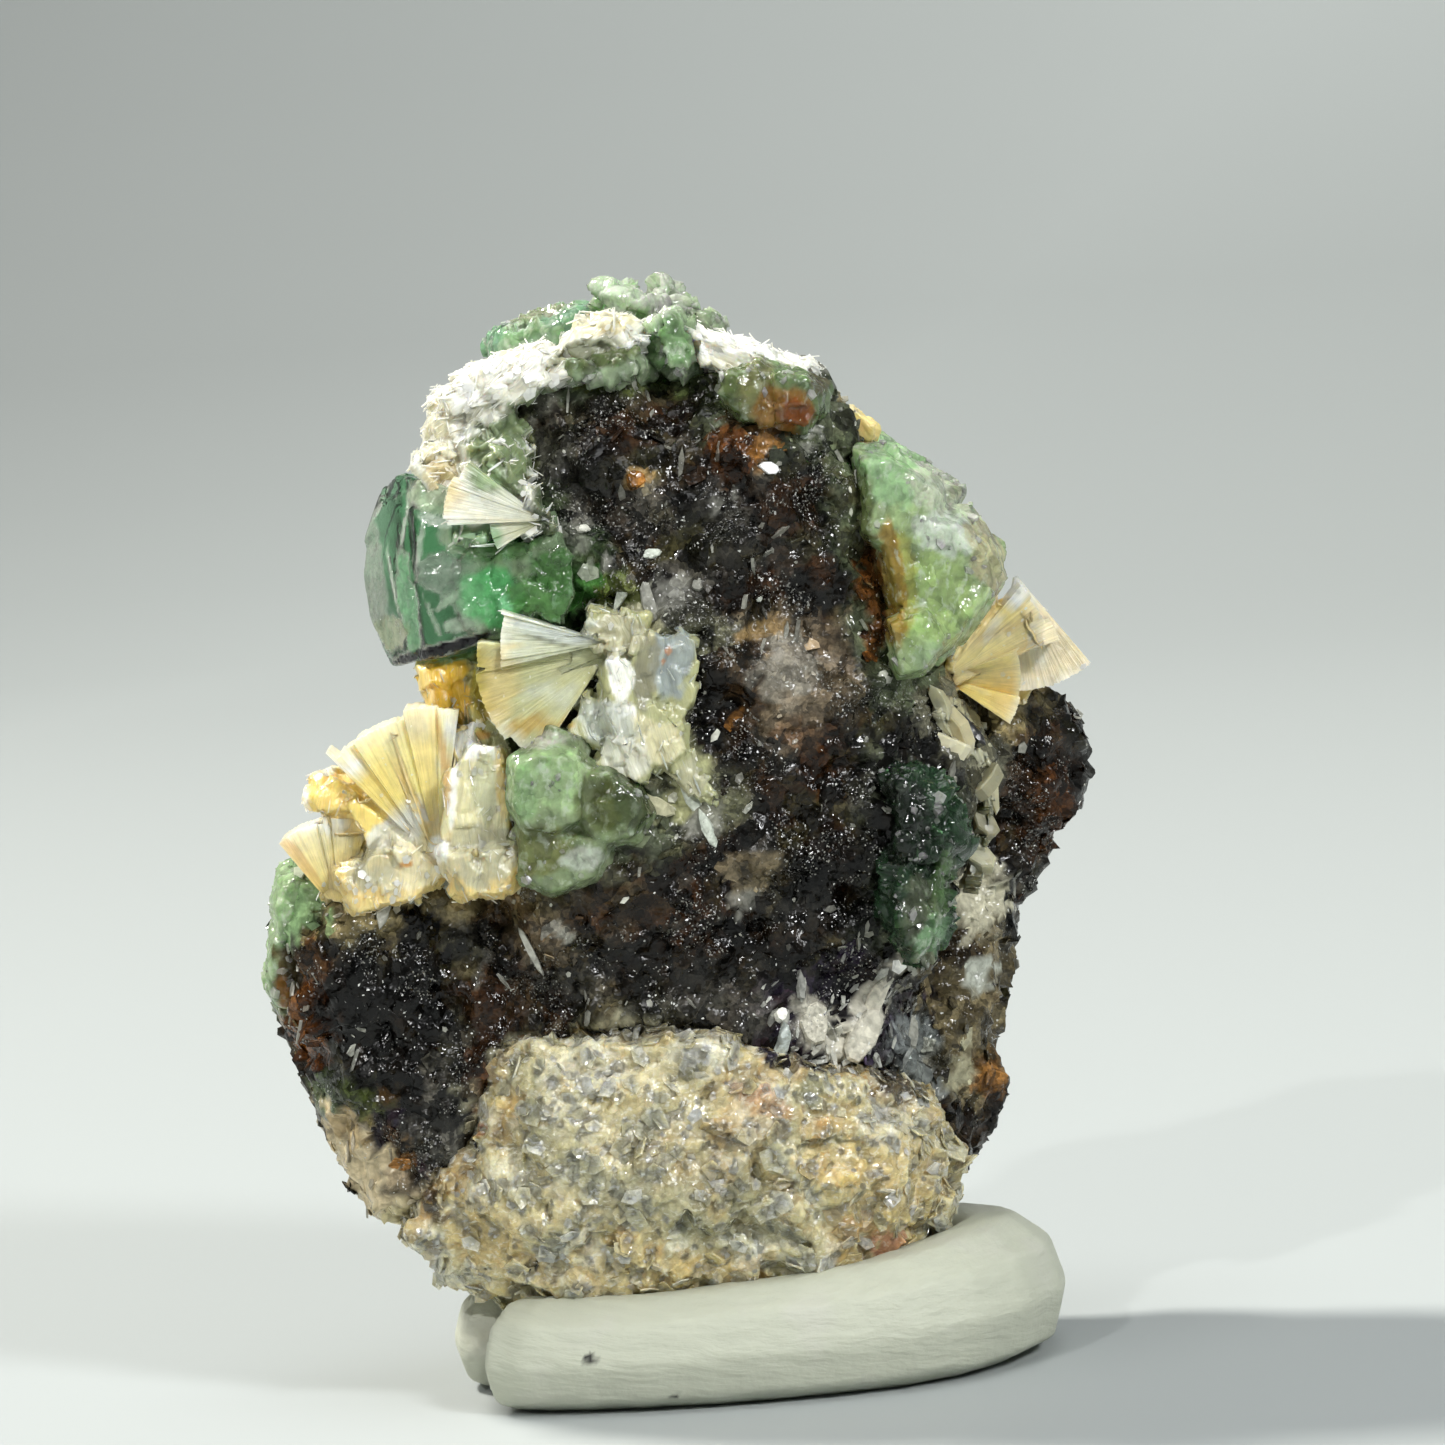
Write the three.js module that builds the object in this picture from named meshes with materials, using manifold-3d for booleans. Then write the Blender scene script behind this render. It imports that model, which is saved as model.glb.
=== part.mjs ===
// Fluorite on muscovite: a hand specimen that stands in a bent roll of mineral tack.
// Millimetres, +Z up. The display side faces -Y, and +X is to its right.
import * as THREE from "three";
import { ConvexGeometry } from "three/addons/geometries/ConvexGeometry.js";
import { mergeVertices } from "three/addons/utils/BufferGeometryUtils.js";
import Module from "manifold-3d";

const wasm = await Module();
wasm.setup();

// Gap kept between two pieces that touch.
const GAP = 0.12;

// The specimen hangs over its tack to the left, so the part is moved to stand with its middle at the origin.
const STANDING_SHIFT = new THREE.Vector3(1.9, -0.4, 0);

// Level sections of the three dark masses and the pale foot: a height, then the reach to each side.
const SLAB_SECTIONS = [
  { z: 5.4, left: -7.0, right: 5.0, front: -2.0, back: 5.5 },
  { z: 8.0, left: -9.5, right: 7.0, front: -4.0, back: 7.5 },
  { z: 11.0, left: -11.0, right: 7.0, front: -5.2, back: 8.2 },
  { z: 14.0, left: -11.5, right: 6.9, front: -6.4, back: 8.8 },
  { z: 17.0, left: -11.5, right: 7.8, front: -7.0, back: 9.2 },
  { z: 20.0, left: -11.0, right: 9.0, front: -7.3, back: 9.4 },
  { z: 23.0, left: -10.0, right: 10.1, front: -7.3, back: 9.4 },
  { z: 26.0, left: -8.8, right: 9.2, front: -7.0, back: 9.2 },
  { z: 28.5, left: -7.6, right: 8.0, front: -6.8, back: 8.8 },
  { z: 32.0, left: -7.0, right: 7.2, front: -6.6, back: 8.0 },
  { z: 36.0, left: -8.2, right: 6.4, front: -6.2, back: 6.6 },
  { z: 39.0, left: -8.0, right: 5.2, front: -4.9, back: 5.2 },
  { z: 41.0, left: -5.0, right: 2.6, front: -2.6, back: 2.8 },
];
const LEFT_LOBE_SECTIONS = [
  { z: 6.4, left: -12.4, right: -9.6, front: -3.0, back: 2.0 },
  { z: 8.0, left: -15.0, right: -8.2, front: -4.4, back: 3.6 },
  { z: 10.0, left: -16.6, right: -8.0, front: -5.2, back: 4.4 },
  { z: 12.0, left: -17.3, right: -8.0, front: -5.6, back: 4.8 },
  { z: 14.6, left: -18.1, right: -8.0, front: -5.9, back: 5.2 },
  { z: 17.0, left: -18.5, right: -8.0, front: -6.1, back: 5.4 },
  { z: 20.0, left: -17.6, right: -8.0, front: -5.8, back: 5.0 },
  { z: 22.4, left: -16.0, right: -8.4, front: -5.0, back: 4.2 },
  { z: 24.4, left: -13.6, right: -9.4, front: -3.6, back: 3.0 },
];
const BACK_LOBE_SECTIONS = [
  { z: 5.2, left: 3.2, right: 6.8, front: 2.0, back: 6.0 },
  { z: 7.0, left: 2.8, right: 8.4, front: 1.0, back: 7.6 },
  { z: 9.0, left: 2.8, right: 9.3, front: 0.6, back: 8.6 },
  { z: 12.0, left: 3.2, right: 10.3, front: 0.6, back: 9.2 },
  { z: 14.6, left: 3.8, right: 11.0, front: 1.2, back: 9.6 },
  { z: 16.4, left: 4.0, right: 11.2, front: 2.0, back: 9.4 },
  { z: 18.2, left: 4.4, right: 12.6, front: 2.8, back: 9.6 },
  { z: 21.0, left: 4.8, right: 14.0, front: 3.2, back: 10.0 },
  { z: 24.0, left: 5.2, right: 14.7, front: 3.0, back: 9.8 },
  { z: 26.0, left: 7.0, right: 14.0, front: 3.6, back: 9.0 },
  { z: 27.2, left: 9.0, right: 12.4, front: 4.8, back: 7.8 },
];
const FOOT_SECTIONS = [
  { z: 2.9, left: -6.4, right: 0.4, front: -3.2, back: 3.4 },
  { z: 3.6, left: -9.8, right: 3.4, front: -5.4, back: 5.2 },
  { z: 4.7, left: -12.0, right: 6.2, front: -6.8, back: 6.4 },
  { z: 6.2, left: -13.8, right: 7.5, front: -7.7, back: 7.2 },
  { z: 8.0, left: -14.9, right: 8.0, front: -8.2, back: 7.6 },
  { z: 10.0, left: -12.9, right: 7.4, front: -8.5, back: 6.6 },
  { z: 12.0, left: -11.6, right: 5.6, front: -8.5, back: 4.6 },
  { z: 14.0, left: -10.2, right: 1.6, front: -8.1, back: 1.6 },
  { z: 15.7, left: -7.6, right: -2.4, front: -7.2, back: -2.6 },
];
const SECTION_SQUARENESS = 2.7;

// Ledges, knobs and pits that a fingertip would find. A negative height is a pit.
const ROCK_MARKS = [
  { at: [9.3, 3.4, 9.6], radius: 1.6, height: 1.1 },
  { at: [-12.0, -6.2, 15.5], radius: 2.2, height: -1.0 },
  { at: [-11.7, -6.2, 19.0], radius: 2.2, height: -1.0 },
  { at: [-14.6, -5.6, 9.4], radius: 1.7, height: -1.1 },
  { at: [-15.6, -5.9, 17.2], radius: 2.4, height: 0.7 },
  { at: [-7.0, -7.0, 19.6], radius: 3.0, height: 0.5 },
  { at: [-0.6, -6.9, 27.4], radius: 1.6, height: -0.9 },
  { at: [2.4, -6.8, 28.0], radius: 2.8, height: 0.6 },
  { at: [2.4, -6.5, 36.4], radius: 2.0, height: 0.6 },
  { at: [-2.2, -6.4, 34.6], radius: 2.4, height: -0.6 },
  { at: [5.0, -6.4, 32.0], radius: 2.0, height: 0.5 },
  { at: [6.4, -6.9, 21.4], radius: 2.6, height: 0.6 },
  { at: [0.6, -7.2, 18.4], radius: 2.2, height: -0.7 },
  { at: [9.4, -1.0, 15.4], radius: 2.4, height: -1.0 },
  { at: [10.6, 1.0, 20.6], radius: 2.6, height: -1.2 },
  { at: [-2.0, 9.2, 24.0], radius: 4.2, height: 0.9 },
  { at: [-6.4, 8.4, 15.0], radius: 3.6, height: -1.0 },
  { at: [3.6, 8.2, 32.0], radius: 3.2, height: -0.8 },
];
const FOOT_MARKS = [
  { at: [-13.2, -6.0, 6.9], radius: 1.8, height: 0.7 },
  { at: [-11.6, -6.8, 7.8], radius: 1.2, height: -0.8 },
  { at: [-2.8, -8.4, 9.0], radius: 2.4, height: 0.5 },
  { at: [4.4, -7.9, 8.4], radius: 2.2, height: 0.6 },
  { at: [-7.2, -8.2, 11.8], radius: 2.4, height: 0.4 },
  { at: [0.4, -8.2, 5.4], radius: 1.8, height: -0.5 },
];

// The tack: the middle line of the roll from its front end round to its back end, with its thickness.
const TACK_LINE = [
  { x: -10.8, y: -4.2, wide: 5.0, high: 4.3 },
  { x: -8.4, y: -5.9, wide: 5.3, high: 4.6 },
  { x: -4.0, y: -6.9, wide: 5.2, high: 4.6 },
  { x: 1.4, y: -7.0, wide: 5.2, high: 4.9 },
  { x: 6.0, y: -5.8, wide: 5.6, high: 5.4 },
  { x: 8.9, y: -2.2, wide: 5.8, high: 5.7 },
  { x: 8.8, y: 2.4, wide: 5.7, high: 5.4 },
  { x: 5.4, y: 5.8, wide: 5.4, high: 5.2 },
  { x: 0.4, y: 6.9, wide: 5.2, high: 4.9 },
  { x: -4.8, y: 6.2, wide: 5.2, high: 5.0 },
  { x: -9.0, y: 3.4, wide: 5.0, high: 4.8 },
  { x: -10.6, y: 0.2, wide: 4.4, high: 4.4 },
  { x: -10.4, y: -2.4, wide: 3.6, high: 4.0 },
];
const TACK_END_LENGTH = 1.6;
const TACK_PRESS = 0.12;
const TACK_FLOOR = { at: [-0.6, 0], reach: [8.4, 5.6], height: 2.4 };
const TACK_TAGS = [
  { at: [-11.3, 0.2, 3.1], reach: [1.1, 1.3, 0.8] },
  { at: [-11.4, -1.4, 1.7], reach: [1.0, 1.1, 0.9] },
  { at: [-10.6, 1.4, 4.1], reach: [1.0, 1.3, 0.7] },
];

const FINISHES = {
  tack: { color: 0xc4c5ba, roughness: 0.7, metalness: 0 },
  darkMica: { color: 0x2a221d, roughness: 0.4, metalness: 0 },
  granular: { color: 0xb5aa8c, roughness: 0.5, metalness: 0 },
  clearFluorite: { color: 0x2f8a68, roughness: 0.08, metalness: 0 },
  greenFluorite: { color: 0x74a87c, roughness: 0.15, metalness: 0 },
  goldenMuscovite: { color: 0xe6c27a, roughness: 0.4, metalness: 0 },
  greenishMuscovite: { color: 0xc8c495, roughness: 0.4, metalness: 0 },
  whiteMuscovite: { color: 0xdcdac8, roughness: 0.4, metalness: 0 },
};

// A repeatable number from 0 to 1 for a place.
function scatter(x, y, z) {
  const wave = Math.sin(x * 127.1 + y * 311.7 + z * 74.7) * 43758.5453;
  return wave - Math.floor(wave);
}

// Smooth noise from -1 to 1 whose swells are about `size` wide.
function swell(point, size) {
  const scaled = point.clone().divideScalar(size);
  const cell = scaled.clone().floor();
  const part = scaled.sub(cell).toArray();
  const ease = part.map((t) => t * t * (3 - 2 * t));
  let sum = 0;
  for (let corner = 0; corner < 8; corner++) {
    const step = [corner & 1, (corner >> 1) & 1, (corner >> 2) & 1];
    const weight = step.reduce((w, far, i) => w * (far ? ease[i] : 1 - ease[i]), 1);
    sum += weight * scatter(cell.x + step[0], cell.y + step[1], cell.z + step[2]);
  }
  return 2 * sum - 1;
}

// Stepped noise from -1 to 1: each grain, about `size` wide, stands at its own height.
function grain(point, size) {
  const scaled = point.clone().divideScalar(size);
  const cell = scaled.clone().floor();
  let nearest = Infinity;
  let height = 0;
  for (let i = 0; i < 27; i++) {
    const step = new THREE.Vector3((i % 3) - 1, (Math.floor(i / 3) % 3) - 1, Math.floor(i / 9) - 1);
    const { x, y, z } = step.add(cell);
    const seed = new THREE.Vector3(
      x + scatter(x, y, z + 0.3),
      y + scatter(y, z, x + 0.6),
      z + scatter(z, x, y + 0.9),
    );
    const away = seed.distanceToSquared(scaled);
    if (away < nearest) {
      nearest = away;
      height = scatter(x + 0.5, y + 0.5, z + 0.5);
    }
  }
  return 2 * height - 1;
}

// The rise or fall that a list of ledges, knobs and pits gives at a point.
function rise(point, marks) {
  return marks.reduce((sum, { at, radius, height }) => {
    const near = 1 - point.distanceTo(new THREE.Vector3(...at)) / radius;
    return near > 0 ? sum + height * near * (2 - near) : sum;
  }, 0);
}

// A geometry whose shared corners are one vertex each.
function joined(geometry) {
  const bare = geometry.clone();
  bare.deleteAttribute("normal");
  bare.deleteAttribute("uv");
  return mergeVertices(bare, 1e-4);
}

function solid(geometry) {
  const merged = joined(geometry);
  return new wasm.Manifold(
    new wasm.Mesh({
      numProp: 3,
      vertProperties: merged.attributes.position.array,
      triVerts: new Uint32Array(merged.index.array),
    }),
  );
}

function together(solids) {
  return solids.reduce((sum, one) => sum.add(one));
}

// Moves each vertex of a closed geometry along its normal by relief(point).
function roughened(geometry, relief) {
  const merged = joined(geometry);
  merged.computeVertexNormals();
  const { position, normal } = merged.attributes;
  for (let i = 0; i < position.count; i++) {
    const point = new THREE.Vector3().fromBufferAttribute(position, i);
    const out = new THREE.Vector3().fromBufferAttribute(normal, i);
    const height = relief(point);
    position.setXYZ(i, ...point.addScaledVector(out, height));
  }
  return merged;
}

// The section at a height, between the two listed sections around it.
function sectionAt(sections, z) {
  const above = THREE.MathUtils.clamp(
    sections.findIndex((section) => section.z >= z),
    1,
    sections.length - 1,
  );
  const low = sections[above - 1];
  const high = sections[above];
  const share = THREE.MathUtils.clamp((z - low.z) / (high.z - low.z), 0, 1);
  const between = (side) => THREE.MathUtils.lerp(low[side], high[side], share);
  return {
    left: between("left"),
    right: between("right"),
    front: between("front"),
    back: between("back"),
  };
}

// A rough mass whose level sections are rounded rectangles.
function mass(sections, { around, levels, relief }) {
  const bottom = sections[0].z;
  const top = sections[sections.length - 1].z;
  const ball = new THREE.SphereGeometry(1, around, levels).rotateX(Math.PI / 2);
  const { position } = ball.attributes;
  for (let i = 0; i < position.count; i++) {
    const point = new THREE.Vector3().fromBufferAttribute(position, i);
    const level = 1 - Math.acos(THREE.MathUtils.clamp(point.z, -1, 1)) / Math.PI;
    const z = THREE.MathUtils.lerp(bottom, top, level);
    const { left, right, front, back } = sectionAt(sections, z);
    const heading = new THREE.Vector2(point.x, point.y);
    const atPole = heading.length() < 1e-6;
    heading.normalize();
    const wide = Math.abs((2 * heading.x) / (right - left)) ** SECTION_SQUARENESS;
    const deep = Math.abs((2 * heading.y) / (back - front)) ** SECTION_SQUARENESS;
    const reach = atPole ? 0 : (wide + deep) ** (-1 / SECTION_SQUARENESS);
    position.setXYZ(i, (left + right) / 2 + reach * heading.x, (front + back) / 2 + reach * heading.y, z);
  }
  return roughened(ball, relief);
}

// The dark rock: swells and stepped grains, with its listed ledges and pits.
function micaRock(grow) {
  const relief = (point) =>
    grow + 0.45 * swell(point, 3.4) + 0.3 * grain(point, 2.1) + rise(point, ROCK_MARKS);
  return together([
    solid(mass(SLAB_SECTIONS, { around: 28, levels: 23, relief })),
    solid(mass(LEFT_LOBE_SECTIONS, { around: 18, levels: 11, relief })),
    solid(mass(BACK_LOBE_SECTIONS, { around: 16, levels: 13, relief })),
  ]);
}

// The pale foot: a lump of scales and grains.
function granularFoot(grow) {
  const relief = (point) =>
    grow + 0.3 * swell(point, 3.0) + 0.25 * grain(point, 1.8) + rise(point, FOOT_MARKS);
  return solid(mass(FOOT_SECTIONS, { around: 28, levels: 11, relief }));
}

// A crystal with flat faces through the given corners.
function crystal(corners, grow) {
  const points = corners.map((corner) => new THREE.Vector3(...corner));
  const middle = new THREE.Box3().setFromPoints(points).getCenter(new THREE.Vector3());
  const pushed = points.map((point) => {
    const out = point.clone().sub(middle).normalize();
    return point.addScaledVector(out, 1.6 * grow);
  });
  return solid(new ConvexGeometry(pushed));
}

// A cube with its eight corners cut off, the habit of fluorite. Three points stand near each corner.
function cutCube({ at, size, turn = [0, 0, 0], cut = 0.45 }, grow) {
  const spin = new THREE.Euler(...turn.map(THREE.MathUtils.degToRad));
  const half = new THREE.Vector3(...size).multiplyScalar(0.5);
  const corners = [];
  for (let i = 0; i < 24; i++) {
    const corner = [i & 1 ? 1 : -1, i & 2 ? 1 : -1, i & 4 ? 1 : -1];
    corner[i >> 3] *= 1 - cut;
    const point = new THREE.Vector3(...corner).multiply(half).applyEuler(spin);
    corners.push(point.add(new THREE.Vector3(...at)).toArray());
  }
  return crystal(corners, grow);
}

function cutCubes(list, grow) {
  return together(list.map((one) => cutCube(one, grow)));
}

// A flat-faced chunk between two depths, whose outline is given as seen from the front. Its front and
// back faces are smaller than its middle, and `lean` is the depth gained per millimetre across.
function chunk({ outline, front, back, taper = 0.74, lean = 0 }, grow) {
  const midX = outline.reduce((sum, [x]) => sum + x, 0) / outline.length;
  const midZ = outline.reduce((sum, [, z]) => sum + z, 0) / outline.length;
  const ring = (depth, share) =>
    outline.map(([x, z]) => [
      midX + share * (x - midX),
      depth + lean * (x - midX),
      midZ + share * (z - midZ),
    ]);
  const shoulder = THREE.MathUtils.lerp(front, back, 0.3);
  return crystal([...ring(front, taper), ...ring(shoulder, 1), ...ring(back, 0.88)], grow);
}

function chunks(list, grow) {
  return together(list.map((one) => chunk(one, grow)));
}

// Mica leaves that spread from one apex, as a hand of cards does. They lie in the plane of `along` and
// `across`, from `from` to `to` degrees, counted from `along` towards `across`.
function fan({ apex, along, across, from, to, reach, thick, leaves, seed }, grow) {
  const first = new THREE.Vector3(...along).normalize();
  const through = first.clone().cross(new THREE.Vector3(...across)).normalize();
  const second = through.clone().cross(first);
  const basis = new THREE.Matrix4().makeBasis(first, second, through);
  const step = THREE.MathUtils.degToRad((to - from) / leaves);
  const half = 0.62 * step + grow / reach;
  const blunt = 0.18 + grow;
  const origin = new THREE.Vector2();
  const solids = [];
  for (let i = 0; i < leaves; i++) {
    const length = reach * (0.88 + 0.12 * scatter(seed, i, 1)) + grow;
    const deep = thick * (0.74 + 0.26 * scatter(seed, i, 2)) + 2 * grow;
    const nearSide = length * (0.94 + 0.06 * scatter(seed, i, 3));
    const shape = new THREE.Shape([
      new THREE.Vector2(-blunt, -blunt),
      new THREE.Vector2(nearSide, 0).rotateAround(origin, -half),
      new THREE.Vector2(length, 0).rotateAround(origin, half),
      new THREE.Vector2(-blunt, blunt),
    ]);
    const leaf = new THREE.ExtrudeGeometry(shape, { depth: deep, bevelEnabled: false });
    leaf.translate(0, 0, -deep / 2 + 0.12 * thick * (scatter(seed, i, 4) - 0.5));
    leaf.rotateZ(THREE.MathUtils.degToRad(from) + (i + 0.5) * step);
    solids.push(solid(leaf.applyMatrix4(basis).translate(...apex)));
  }
  return together(solids);
}

// The large clear crystal: a curved left face, a front face and a flat lower face.
function fluoriteLeft(grow) {
  const leftFace = [
    [-12.1, -2.4, 37.0], [-12.7, -0.6, 36.5], [-13.5, -1.2, 34.6],
    [-13.8, -1.4, 33.1], [-13.6, -1.9, 31.3], [-12.8, -3.2, 29.5],
  ];
  const ridge = [[-11.1, -4.9, 36.9], [-11.4, -6.0, 33.6], [-11.2, -5.8, 29.9]];
  const frontFace = [
    [-9.2, -5.6, 36.3], [-6.4, -6.2, 35.6], [-5.2, -7.2, 33.3],
    [-5.6, -7.4, 31.2], [-8.8, -6.8, 30.3],
  ];
  const backFace = [
    [-12.6, 2.4, 35.8], [-13.2, 2.6, 32.6], [-12.2, 2.2, 29.9],
    [-7.0, 3.0, 36.2], [-7.0, 3.0, 30.4],
  ];
  return crystal([...leftFace, ...ridge, ...frontFace, ...backFace], grow);
}

function fluoriteTop(grow) {
  const wedge = [[-1.8, 42.2], [-0.6, 42.6], [0.2, 41.6], [0.3, 40.2], [-0.9, 39.9], [-1.9, 40.8]];
  const olive = [[-5.2, 41.0], [-3.8, 41.4], [-2.2, 41.6], [-1.8, 40.4], [-3.4, 39.8], [-5.0, 40.0]];
  return together([
    chunk({ outline: wedge, front: -4.6, back: 0.6 }, grow),
    chunk({ outline: olive, front: -5.2, back: 0.2 }, grow),
    cutCube({ at: [-2.6, 0.2, 42.4], size: [2.0, 2.6, 2.0], turn: [10, 20, 30] }, grow),
    cutCube({ at: [-1.0, 0.9, 42.2], size: [2.0, 2.4, 2.3], turn: [-15, 35, 10] }, grow),
    cutCube({ at: [-1.6, 2.6, 40.9], size: [4.2, 4.4, 2.6], turn: [-10, 6, 40] }, grow),
  ]);
}

function fluoriteTopLeft(grow) {
  const block = [
    [-8.2, 41.6], [-7.8, 42.3], [-6.0, 42.7], [-4.2, 42.9],
    [-3.5, 42.2], [-4.4, 40.4], [-7.4, 40.0],
  ];
  return together([
    chunk({ outline: block, front: -1.8, back: 3.4 }, grow),
    cutCube({ at: [-5.0, 3.6, 40.8], size: [3.2, 2.8, 2.4], turn: [-12, 8, 30] }, grow),
  ]);
}

function fluoriteTopRight(grow) {
  const green = [[1.0, 40.2], [2.6, 40.6], [3.3, 39.4], [2.9, 37.8], [1.5, 38.0], [0.8, 39.0]];
  const amber = [[2.6, 40.4], [4.3, 39.9], [5.1, 39.2], [5.0, 38.1], [4.1, 37.4], [2.9, 37.9]];
  return together([
    chunk({ outline: green, front: -6.5, back: 1.0 }, grow),
    chunk({ outline: amber, front: -6.3, back: 1.6, lean: 0.3 }, grow),
    cutCube({ at: [3.2, 2.0, 39.0], size: [3.6, 3.8, 2.4], turn: [-16, 18, 24] }, grow),
  ]);
}

function fluoriteRight(grow) {
  const upper = [
    [6.0, 36.8], [7.2, 36.7], [8.4, 35.9], [9.5, 34.7],
    [9.2, 32.6], [7.2, 31.8], [5.8, 33.2],
  ];
  const lower = [
    [6.3, 33.4], [8.6, 34.4], [10.5, 34.0], [11.5, 32.3],
    [11.6, 30.8], [9.6, 28.6], [8.2, 27.6], [7.0, 27.6],
  ];
  const foot = [[6.5, 30.2], [8.4, 30.6], [9.3, 29.2], [8.0, 27.7], [6.9, 27.5]];
  return together([
    chunk({ outline: upper, front: -5.2, back: 0.2, lean: 0.3 }, grow),
    chunk({ outline: lower, front: -4.6, back: 1.0, lean: 0.3 }, grow),
    chunk({ outline: foot, front: -6.0, back: -0.6, lean: 0.2 }, grow),
    cutCube({ at: [7.2, 1.8, 34.0], size: [4.6, 4.0, 4.4], turn: [12, 34, -16] }, grow),
    cutCube({ at: [8.6, 2.6, 31.0], size: [4.6, 5.0, 4.6], turn: [-10, 24, 14] }, grow),
  ]);
}

function fluoriteMiddle(grow) {
  const light = [
    [-8.4, 26.0], [-7.1, 26.6], [-5.6, 26.3], [-5.1, 25.2],
    [-5.4, 23.2], [-6.8, 22.6], [-8.2, 22.9], [-8.6, 24.4],
  ];
  const dark = [
    [-5.9, 25.8], [-4.5, 25.4], [-3.4, 24.5], [-2.9, 23.4],
    [-3.6, 22.3], [-5.1, 22.1], [-6.0, 22.9],
  ];
  const skirt = [[-8.5, 23.2], [-5.8, 23.0], [-4.4, 22.6], [-5.0, 21.0], [-7.2, 20.4], [-8.7, 21.2]];
  return together([
    chunk({ outline: light, front: -9.2, back: -4.6 }, grow),
    chunk({ outline: dark, front: -8.8, back: -4.6 }, grow),
    chunk({ outline: skirt, front: -8.6, back: -5.0 }, grow),
    cutCube({ at: [-6.5, -6.9, 26.3], size: [1.8, 2.2, 1.2], turn: [0, 24, 30] }, grow),
  ]);
}

function fluoriteLeftEdge(grow) {
  const upper = [
    [-18.2, 20.3], [-17.8, 21.4], [-17.1, 21.7], [-16.4, 21.0],
    [-16.4, 19.6], [-17.0, 18.6], [-18.3, 18.8],
  ];
  const lower = [[-18.4, 19.4], [-17.0, 19.6], [-16.9, 18.2], [-17.6, 16.6], [-18.3, 16.2], [-18.6, 17.2]];
  return together([
    chunk({ outline: upper, front: -3.8, back: 1.6 }, grow),
    chunk({ outline: lower, front: -3.6, back: 1.4 }, grow),
  ]);
}

function fluoriteRightEdge(grow) {
  const upper = [[6.1, 24.2], [7.8, 24.0], [9.1, 22.6], [9.2, 20.8], [7.8, 20.2], [6.2, 21.0]];
  const lower = [[6.3, 21.4], [8.6, 21.2], [8.4, 19.0], [7.8, 17.2], [6.6, 16.8], [5.8, 18.2]];
  return together([
    chunk({ outline: upper, front: -7.4, back: -2.0, lean: 0.5 }, grow),
    chunk({ outline: lower, front: -7.6, back: -2.4, lean: 0.5 }, grow),
  ]);
}

// Left: a low fan, a block, a broad fan with its column, a wedge and the ledge under them.
function muscoviteLeftFans(grow) {
  const upright = { along: [0, 0, 1], across: [1, 0, 0] };
  const lowFan = { apex: [-15.6, -3.9, 20.0], from: -32, to: 20, reach: 3.9, thick: 2.8 };
  const broadFan = { apex: [-11.5, -4.9, 21.8], from: -38, to: 12, reach: 6.1, thick: 3.0 };
  const block = [
    [-16.6, 24.6], [-16.3, 25.5], [-15.1, 25.8], [-14.0, 25.6],
    [-13.6, 24.2], [-14.0, 22.6], [-15.8, 22.6],
  ];
  const wedge = [[-11.5, 22.4], [-10.9, 25.6], [-9.8, 26.6], [-8.5, 26.5], [-8.4, 24.4], [-8.6, 22.4]];
  const ledge = [[-11.6, 22.6], [-8.2, 22.8], [-7.9, 21.8], [-8.6, 20.6], [-10.8, 20.4]];
  const strip = [[-16.0, 22.0], [-13.6, 23.0], [-11.0, 22.8], [-10.8, 21.4], [-12.4, 20.4], [-15.4, 19.8]];
  return together([
    fan({ ...upright, ...lowFan, leaves: 4, seed: 1 }, grow),
    fan({ ...upright, ...broadFan, leaves: 6, seed: 2 }, grow),
    chunk({ outline: block, front: -5.6, back: -1.8 }, grow),
    chunk({ outline: wedge, front: -7.4, back: -3.4, taper: 0.9 }, grow),
    chunk({ outline: ledge, front: -8.0, back: -4.4 }, grow),
    chunk({ outline: strip, front: -6.6, back: -2.6 }, grow),
  ]);
}

// Middle: the yellow block, a thin slice, the broad fan, its upper leaf, a flake, the grey plate and
// the mass that trails down to the right.
function muscoviteCentreFan(grow) {
  const level = { along: [-1, 0, 0], across: [0, 0, -1] };
  const broadFan = { apex: [-4.2, -6.7, 29.7], from: -8, to: 50, reach: 5.1, thick: 2.2 };
  const upperLeaf = { apex: [-4.2, -7.2, 30.1], from: -20, to: 8, reach: 4.2, thick: 1.6 };
  const block = [[-11.8, 29.6], [-9.4, 30.0], [-9.4, 26.8], [-11.2, 27.0], [-11.6, 28.2]];
  const slice = [[-9.6, 29.8], [-8.8, 30.0], [-8.0, 25.6], [-9.2, 25.7], [-9.8, 27.4]];
  const flake = [[-4.5, 29.9], [-3.7, 30.1], [-3.1, 28.0], [-3.0, 26.2], [-4.2, 25.9], [-4.7, 27.4]];
  const plate = [[-2.5, 30.0], [-1.4, 30.5], [-0.7, 29.9], [-0.8, 28.2], [-1.5, 26.8], [-2.6, 27.6]];
  const creamy = [[-4.4, 27.4], [-2.6, 28.2], [-1.3, 26.8], [-1.0, 25.4], [-2.6, 24.8], [-4.3, 25.8]];
  const tail = [[-2.6, 26.0], [-1.2, 26.2], [-0.2, 23.6], [-0.7, 23.2], [-2.0, 24.4]];
  return together([
    fan({ ...level, ...broadFan, leaves: 6, seed: 4 }, grow),
    fan({ ...level, ...upperLeaf, leaves: 3, seed: 5 }, grow),
    chunk({ outline: block, front: -5.4, back: -2.2, taper: 0.9 }, grow),
    chunk({ outline: slice, front: -6.4, back: -3.0, taper: 0.9 }, grow),
    chunk({ outline: flake, front: -8.3, back: -5.6 }, grow),
    chunk({ outline: plate, front: -7.7, back: -5.6, taper: 0.94 }, grow),
    chunk({ outline: creamy, front: -8.1, back: -5.6 }, grow),
    chunk({ outline: tail, front: -7.8, back: -6.0 }, grow),
  ]);
}

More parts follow.
